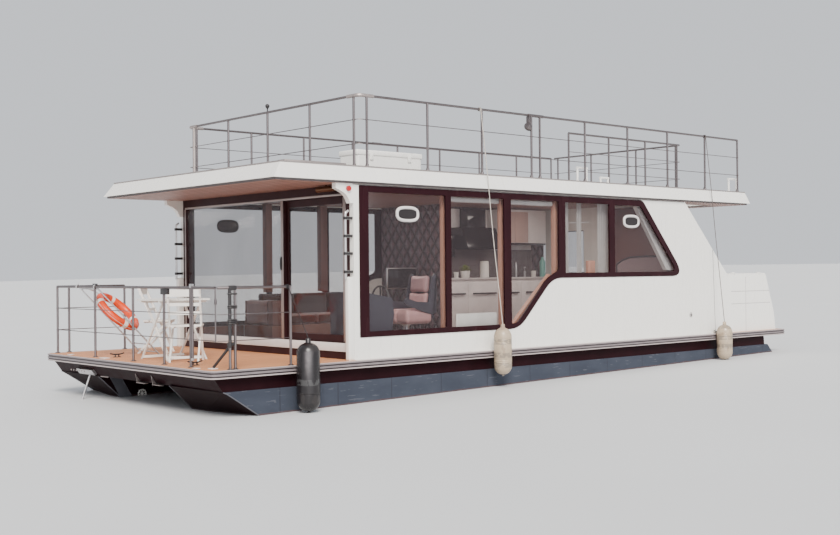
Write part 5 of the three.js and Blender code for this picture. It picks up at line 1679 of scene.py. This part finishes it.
def sofa():
    front, back, wall, face = SOFA.values()
    arm = front + 0.205
    box_piece("sofa_base", wall_wood, "cushion_fabric",
              (at(back, wall, ROOM_FLOOR), at(front, face - 0.01, 0.74), 0.004),
              (at(back, wall, 0.738), at(front + 0.01, wall + 0.03, 1.12), 0.004), stands_for=["sofa"])
    cushion("sofa_arm", at(front + 0.2, wall + 0.005, 0.742), at(front + 0.003, face - 0.135, 1.14),
            sofa_cloth, voxel=0.018, cap=0.012)
    box_piece("sofa_arm_end", pillar_brown, "floor_wood",
              (at(front + 0.195, face - 0.13, 0.742), at(front + 0.006, face, 1.13), 0.012, 3))
    each = (back - front - 0.21) / SOFA_SEATS
    for index in range(SOFA_SEATS):
        start = arm + index * each
        end = start + each - 0.006
        cushion(f"sofa_seat_{index + 1}", at(end, wall + 0.19, 0.742), at(start, face, 0.9), sofa_cloth,
                voxel=0.018, cap=0.012)
        cushion(f"sofa_back_{index + 1}", at(end, wall + 0.032, 0.76), at(start, wall + 0.182, 1.24),
                sofa_dark, voxel=0.018, cap=0.01)


def berth():
    front, back, wall, face = BERTH.values()
    box_piece("berth_base", wall_wood, "bedding", (at(back, wall, ROOM_FLOOR), at(front, face, 0.86), 0.004),
              (at(back, wall, 0.858), at(9.085, face, 1.5), 0.02, 3), stands_for=["berth"])
    cushion("berth_mattress", at(9.07, -2.025, 0.862), at(6.905, -1.115, 1.05), bed_linen,
            voxel=0.03, cap=0.012)
    for index, y in enumerate((-1.8, -1.34)):
        cushion(f"berth_pillow_{index + 1}", at(9.05, y - 0.2, 1.052), at(8.7, y + 0.2, 1.17), bed_linen,
                voxel=0.014, cap=0.03)


wall_wood = planks("wall_wood", (0.17, 0.062, 0.036), 0.32, 0.002, 0, 0.5)
sofa_dark = cloth("sofa_dark", (0.06, 0.04, 0.04), 0.006)
sofa()
berth()

# %% [markdown]
# ## Galley
# The galley's block gets what a joiner adds: fronts with bar handles, a pale worktop, dark tiles,
# a hood, and wall cupboards of two colours over a dark shelf. Fronts and cupboards are given as
# the distances at which each begins and ends.
# %% Galley fronts and hood
GALLEY = dict(start=6.095, end=8.8, face=-0.45, wall=-1.0497, top=1.4105)
FRONTS = [(6.1, 6.6), (6.605, 7.34), (7.345, 7.9), (7.905, 8.35), (8.355, 8.795)]
CUPBOARDS = [(7.665, 7.99, cupboard_pale), (7.995, 8.33, cupboard_pale), (8.335, 8.795, cupboard_white)]
CUPBOARD_FACE = -0.68
DOOR_THICK = 0.018
HANDLE_HEIGHT = 1.175


def galley():
    start, end, face, wall, top = GALLEY.values()
    box_piece("galley_fronts", cupboard_white, "kitchen_white",
              *[(at(last, face + GAP, 0.58), at(first, face + DOOR_THICK, 1.36), 0.003)
                for first, last in FRONTS])
    handles = bmesh.new()
    grip = face + 0.045
    for first, last in FRONTS:
        rod(handles, at(last - 0.09, grip, HANDLE_HEIGHT), at(first + 0.09, grip, HANDLE_HEIGHT), 0.014, 10)
        for place in (first + 0.11, last - 0.11):
            rod(handles, at(place, face + 0.017, HANDLE_HEIGHT), at(place, grip, HANDLE_HEIGHT), 0.006, 8)
    finish_piece("galley_handles", handles, black_plastic)
    box_piece("galley_worktop", worktop_pale, "kitchen_white",
              (at(end, wall + 0.02, top), at(start, face + 0.03, 1.44), 0.004))
    box_piece("galley_tiles", wall_tiles, "inside_grey",
              (at(8.79, wall + 0.0205, 1.441), at(6.1, wall + 0.028, 1.93), 0.001))


def hood():
    """The hood with its sloping face and duct, a speaker beside it, and the cupboards."""
    mesh = bmesh.new()
    wall = GALLEY["wall"] + 0.021
    side = [(wall, 2.31), (wall + 0.24, 2.31), (wall + 0.42, 1.96), (wall + 0.42, 1.93), (wall, 1.93)]
    plate(mesh, [at(7.62, y, z) for y, z in side], (0.84, 0, 0))
    box(mesh, at(7.42, wall, 2.3), at(6.98, wall + 0.2, 2.639), 0.003)
    box(mesh, at(6.69, wall, 1.8), at(6.49, wall + 0.2, 2.17), 0.012)
    finish_piece("galley_hood", mesh, screen_black)
    for index, (start, end, finish) in enumerate(CUPBOARDS):
        box_piece(f"galley_cupboard_{index + 1}", finish, "kitchen_white",
                  (at(end, CUPBOARD_FACE + GAP, 2.05), at(start, CUPBOARD_FACE + DOOR_THICK, 2.6), 0.003))
    box_piece("galley_shelf", screen_black, "lamp_black",
              (at(8.8, wall, 2.012), at(7.66, CUPBOARD_FACE + 0.01, 2.044), 0.003))


def tiles(name, colour, pitch):
    """Square wall tiles with dark joints."""
    finish = keep(Finish(name, colour, 0.25))
    x, _, z = finish.axes()
    joint = x.repeat(pitch).below(0.004).larger(z.repeat(pitch).below(0.004))
    cloud = finish.noise(8.0, 4.0)
    joint_colour = tuple(part * 0.4 for part in colour)
    finish.set("Base Color", finish.blend(joint, finish.shade(cloud, 0.7, 1.3), joint_colour))
    finish.bump(cloud * 0.3 - joint, 0.002, 0.5)
    return finish


wall_tiles = tiles("wall_tiles", (0.13, 0.105, 0.105), 0.15)
worktop_pale = cast("worktop_pale", (0.62, 0.57, 0.55), 0.3, grain=700.0, depth=0.0002)
galley()
hood()

# %% [markdown]
# The worktop is lived in: a plant in its pot, a canister, two cups, a flask, a glass and a tall bottle.
# Each is a lathe profile; the plant is a ball of narrow leaves, bent at random about the pot.
# %% Galley ware
WARE_LINE = -0.6
WARE_TOP = 1.4405
POT_PLACE = 6.69
POTS = ((6.48, 0.042, 0.1), (POT_PLACE, 0.085, 0.12), (8.39, 0.048, 0.11))
CANISTER = [(0.0, 0.0), (0.072, 0.0), (0.078, 0.008), (0.078, 0.24), (0.07, 0.246), (0.074, 0.252),
            (0.074, 0.275), (0.066, 0.282), (0.0, 0.284)]
FLASK = [(0.0, 0.0), (0.016, 0.0), (0.018, 0.01), (0.018, 0.2), (0.01, 0.225), (0.01, 0.262), (0.0, 0.264)]
GOBLET = [(0.0, 0.0), (0.02, 0.0), (0.022, 0.1), (0.005, 0.115), (0.005, 0.16), (0.022, 0.17), (0.022, 0.18),
          (0.0, 0.18)]
BOTTLE = [(0.0, 0.0), (0.048, 0.0), (0.054, 0.01), (0.054, 0.27), (0.03, 0.31), (0.022, 0.33), (0.022, 0.355),
          (0.0, 0.357)]
LEAVES = 90


def pot(radius, height):
    """A cup or pot with its wall and its inner floor."""
    return [(0.0, 0.0), (radius * 0.8, 0.0), (radius * 0.86, 0.006), (radius, height),
            (radius - 0.006, height), (radius * 0.8, 0.02), (0.0, 0.02)]


def ware(name, finish, shapes):
    """Turned things on the worktop: where each stands, its profile and its number of steps."""
    mesh = bmesh.new()
    for place, profile, steps in shapes:
        turned(mesh, profile, at(place, WARE_LINE, WARE_TOP), steps=steps)
    finish_piece(name, mesh, finish)


def leaves():
    draw = random.Random(11)
    mesh = bmesh.new()
    centre = at(POT_PLACE, WARE_LINE, WARE_TOP + 0.105)
    for _ in range(LEAVES):
        turn, rise = draw.uniform(0, math.tau), draw.uniform(0.25, 1.4)
        out = Vector((math.cos(turn) * math.cos(rise), math.sin(turn) * math.cos(rise), math.sin(rise)))
        across = Vector((-math.sin(turn), math.cos(turn), 0)) * 0.008
        root, reach = centre + out * 0.02, draw.uniform(0.08, 0.13)
        middle, tip = root + out * reach * 0.55, root + out * reach - Vector((0, 0, 0.012))
        plate(mesh, [root, middle - across, tip, middle + across], out.cross(across).normalized() * 0.0012)
    finish_piece("galley_plant", mesh, leaf_green)


bottle_teal = cast("bottle_teal", (0.16, 0.42, 0.36), 0.3, grain=600.0, depth=0.0002)
leaf_green = cast("leaf_green", (0.2, 0.26, 0.03), 0.5, grain=200.0)
ware("galley_crockery", white_paint,
     [(place, pot(radius, height), 28) for place, radius, height in POTS] + [(7.15, CANISTER, 32)])
ware("galley_glasses", bright_steel, [(7.94, FLASK, 20), (8.16, GOBLET, 20)])
ware("galley_bottle", bottle_teal, [(8.63, BOTTLE, 28)])
leaves()

# %% [markdown]
# ## Bedroom headboard
# Behind the last pane stands the aft wall's headboard: padded and arched on top. A dark tube along its edge
# is a painted shadow, for the shade along its top. Brown boards line the wall behind it, and a sill board
# runs under the bedroom panes with a small tan box on it.
# %% Headboard, lining, sill and box
INNER = 2.0605
BOARD_FOOT = 0.4665
HEADBOARD = [(0.72, 1.0), (1.8, 1.0), (1.8, 1.7), (1.74, 1.75), (1.6, 1.775), (1.3, 1.78), (1.0, 1.765),
             (0.84, 1.72), (0.72, 1.65)]


def headboard():
    mesh = bmesh.new()
    plate(mesh, [at(9.135, y, z) for y, z in HEADBOARD], (0.05, 0, 0))
    piece = finish_piece("bed_headboard", blown(mesh, 0.02, 0.018), headboard_cloth)
    # Painted shadow: a dark tube round the headboard's edge stands in for the shade along its top.
    mesh = bmesh.new()
    add_tubes(mesh, [[at(9.11, y, z) for y, z in [*HEADBOARD[1:], HEADBOARD[0]]]], 0.016, 3)
    finish_piece("bed_headboard_shadow_line", mesh, dark_cloth)


headboard_cloth = cloth("headboard_cloth", (0.34, 0.25, 0.26), 0.006)
headboard()
box_piece("aft_wall_lining", pillar_brown, "floor_wood",
          (at(9.158, 0.42, BOARD_FOOT), at(9.148, 2.03, 2.63), 0.002))
box_piece("bedroom_sill", trim_white, "floor_wood", (at(9.1, 1.88, 1.431), at(6.15, INNER, 1.452), 0.004))
box_piece("sill_box", pillar_wood, "floor_wood", (at(7.03, 1.9, 1.4525), at(6.87, 1.965, 1.7), 0.012, 3))

# %% [markdown]
# ## Pillars, panelling, blinds and screens
# Between the big panes, inside, stand square pillars: tan wood to port, browner to starboard.
# A board follows each slanting edge of the glass, tan at the big panes and white at the last one.
# Below the panes the walls are boarded. Slim blind boxes hang at the head of two panes,
# a dark screen hangs on the wall, and a blank pale board leans in the window beside the galley.
# %% Pillars, panels and screens
PILLAR_TOP = 2.668
PORT_PILLARS = [(3.735, 3.86), (4.85, 4.985), (5.98, 6.12)]
FAR_PILLARS = [(3.574, 3.69), (4.663, 4.8)]
REVEAL_FACE = 1.99
SLANT_BOARD = [(5.025, 0.74), (5.1, 0.74), (5.93, 1.46), (5.87, 1.5)]
SLANT_REVEAL = [(7.93, 2.56), (8.07, 2.56), (8.91, 1.54), (8.72, 1.54)]
PANELS = {1: ((2.26, 4.84, 0.73), (6.15, 9.1, 1.43)), -1: ((2.26, 3.19, 0.73), (6.15, 6.88, 1.43))}
BLINDS = ((3.865, 4.845), (4.99, 5.975))


def slanted(mesh, outline):
    """A board that follows a slanting edge of the glass."""
    plate(mesh, [at(place, REVEAL_FACE, z) for place, z in outline], (0, 0.07, 0))


def pillars():
    mesh = bmesh.new()
    for start, end in PORT_PILLARS:
        box(mesh, at(end, REVEAL_FACE, BOARD_FOOT), at(start, INNER, PILLAR_TOP), 0.006)
    slanted(mesh, SLANT_BOARD)
    finish_piece("window_pillars", mesh, pillar_wood)
    box_piece("far_window_pillars", pillar_brown, "floor_wood",
              *[(at(end, -INNER, 1.245), at(start, -1.95, PILLAR_TOP), 0.006) for start, end in FAR_PILLARS])
    mesh = bmesh.new()
    slanted(mesh, SLANT_REVEAL)
    finish_piece("slanted_reveal", mesh, trim_white)


def panelling():
    mesh = bmesh.new()
    for side, panels in PANELS.items():
        low, high = sorted((side * 2.035, side * INNER))
        for start, end, top in panels:
            box(mesh, at(end, low, BOARD_FOOT), at(start, high, top), 0.003)
    finish_piece("wall_panelling", mesh, wall_wood)


pillars()
panelling()
box_piece("blind_boxes", trim_white, "hull_white",
          *[(at(end, 1.965, 2.505), at(start, 2.045, 2.575), 0.02, 4) for start, end in BLINDS])
box_piece("wall_screen_frame", bright_steel, "rail_steel",
          (at(6.02, -1.12, 1.27), at(5.37, -1.085, 1.62), 0.006),
          (at(6.049, -1.14, 1.4), at(5.98, -1.1, 1.5), 0.004))
box_piece("wall_screen", screen_black, "lamp_black",
          (at(6.005, -1.09, 1.285), at(5.385, -1.0835, 1.605), 0.002))
box_piece("window_board", white_paint, "furniture_white",
          (at(4.77, 2.035, 0.775), at(3.98, 2.041, 0.97), 0.002))

# %% [markdown]
# ## Curtains
# Three white curtains hang beside the bedroom panes, drawn together into folds.
# Each is one strip of cloth on a wavy path: the flat width it was cut to is the length of that path.
# %% Gathered curtains
CURTAINS = [(7.04, 7.3), (6.25, 6.36), (6.55, 6.66)]
CURTAIN_FOOT, CURTAIN_HEAD = 1.47, 2.6
CURTAIN_LINE = 2.0
FOLD_PITCH, FOLD_DEPTH, FOLD_STEPS = 0.042, 0.026, 10
FOLD_WAIST = 0.12
CURTAIN_ROWS = 8
CLOTH_THICK = 0.0015


def curtain(name, start, end, foot, head):
    folds = max(2, round((end - start) / FOLD_PITCH))
    count = folds * FOLD_STEPS
    shares = [step / count for step in range(count + 1)]
    line = [(station(start + (end - start) * share),
             CURTAIN_LINE + FOLD_DEPTH * math.sin(share * folds * math.tau)) for share in shares]
    mesh = bmesh.new()
    rows = []
    for level in range(CURTAIN_ROWS + 1):
        rise = level / CURTAIN_ROWS
        tight = 1 - FOLD_WAIST * math.sin(rise * math.pi)
        height = foot + (head - foot) * rise
        rows.append([mesh.verts.new((x, CURTAIN_LINE + (y - CURTAIN_LINE) * tight, height)) for x, y in line])
    for below, above in zip(rows, rows[1:]):
        for corners in zip(below, below[1:], above[1:], above):
            mesh.faces.new(corners)
    bmesh.ops.solidify(mesh, geom=mesh.faces[:], thickness=CLOTH_THICK)
    piece = finish_piece(name, mesh, blind_cloth)


for index, span in enumerate(CURTAINS):
    curtain(f"curtain_{index + 1}", *span, CURTAIN_FOOT, CURTAIN_HEAD)

# %% [markdown]
# ## Lifebuoy
# The lifebuoy hangs tilted on its bent arm and lies against its cradle. It is a fat orange ring with
# four white bands, and a grab rope looped from band to band. The ring is one spin; each band is a
# short piece of a slightly fatter ring; the rope sags between its fastenings and stays near the ring.
# %% Lifebuoy with bands and grab rope
BAND_COUNT = 4
BAND_STEP = 0.018
ROPE_SAG = 0.03


def buoy_frame():
    """Axis of the ring and two directions across it, turned as the solid ring is."""
    slope, level = BUOY["slope"], BUOY["level"].normalized()
    lift = slope.cross(level).normalized()
    second = level * math.cos(BUOY["tilt"]) + lift * math.sin(BUOY["tilt"])
    axis = slope.cross(second).normalized()
    return axis, slope, axis.cross(slope)


def buoy_point(turn, reach):
    _, slope, across = buoy_frame()
    return BUOY["centre"] + (slope * math.cos(turn) + across * math.sin(turn)) * reach


def lifebuoy():
    radius, tube = BUOY["radius"], BUOY["tube"]
    mesh = bmesh.new()
    ring(mesh, BUOY["centre"], buoy_frame()[0], radius, tube, steps=72, sides=20)
    finish_piece("lifebuoy_ring", mesh, buoy_orange, stands_for=["lifebuoy"])
    bands, ropes = [], []
    part = math.tau / BAND_COUNT
    for index in range(BAND_COUNT):
        middle = (index + 0.5) * part
        bands.append([buoy_point(middle + step * BAND_STEP, radius) for step in range(-5, 6)])
        ropes.append([buoy_point(middle + step / 16 * part,
                                 radius + tube + 0.003 - 0.2 * ROPE_SAG * math.sin(step / 16 * math.pi))
                      for step in range(17)])
    mesh = bmesh.new()
    add_tubes(mesh, bands, tube + 0.0012, 6)
    finish_piece("lifebuoy_bands", mesh, white_paint)
    mesh = bmesh.new()
    add_tubes(mesh, ropes, 0.004, 2)
    finish_piece("lifebuoy_grab_rope", mesh, pale_rope)


lifebuoy()

# %% [markdown]
# ## Outboard
# The outboard's cowl is a moulded shell with round edges over the engine. A dark seam, a grip
# and three air slots break it up. The leg keeps its cast shape.
# %% Cowl, seam and grip
COWL = dict(front=11.24, back=11.73, low=0.83, top=1.3, half=0.165)
SLOTS = (0.27, 0.3, 0.33)


def cowl_band(grow, aft, ahead, low, high, edge):
    """A band round the cowl: how far it stands out, where it ends aft and ahead, its heights, its edge."""
    front, back, _, _, half = COWL.values()
    return at(back + aft, -half - grow, low), at(front - ahead, half + grow, high), edge


def cowl():
    front, _, low, top, _ = COWL.values()
    box_piece("motor_cowl", motor_paint, "motor_black",
              (*cowl_band(0.004, 0.004, 0.004, low + 0.075, top + 0.004, 0.05), 4), body="motor")
    box_piece("motor_cowl_trim", black_plastic, "motor_black",
              *[cowl_band(0.007, -0.05, -0.13, low + rise, low + rise + 0.01, 0.002) for rise in SLOTS],
              cowl_band(0.006, 0.006, 0.006, low + 0.062, low + 0.078, 0.005),
              (at(front + 0.03, -0.05, top - 0.05), at(front - 0.012, 0.05, top - 0.02), 0.006), body="motor")


cowl()

# %% [markdown]
# ## Terrace chairs
# The chairs are painted slatted wood that folds. A round pivot shows where the legs cross.
# %% Chair pivots
CHAIRS = [((0.5, 0.765), -2.2), ((1.016, -1.267), 2.42)]
PIVOT = dict(ahead=0.256, height=0.752, inner=0.21, outer=0.225)
PIVOT_HEAD = [(0.0, 0.0), (0.012, 0.0), (0.01, 0.005), (0.0, 0.006)]


def chair_place(chair, ahead, across, z):
    """A point in a chair's own frame: ahead is the way that it faces."""
    place, turn = chair
    return at(*place, z) + Matrix.Rotation(turn, 3, "Z") @ Vector((ahead, across, 0))


def chair_pivots():
    mesh = bmesh.new()
    ahead, height, inner, outer = PIVOT.values()
    for chair in CHAIRS:
        for side in (-1, 1):
            centre = chair_place(chair, ahead, side * inner, height)
            outward = chair_place(chair, ahead, side * outer, height) - centre
            turned(mesh, PIVOT_HEAD, centre, outward.normalized(), 12)
    finish_piece("chair_pivots", mesh, bright_steel)


chair_pivots()
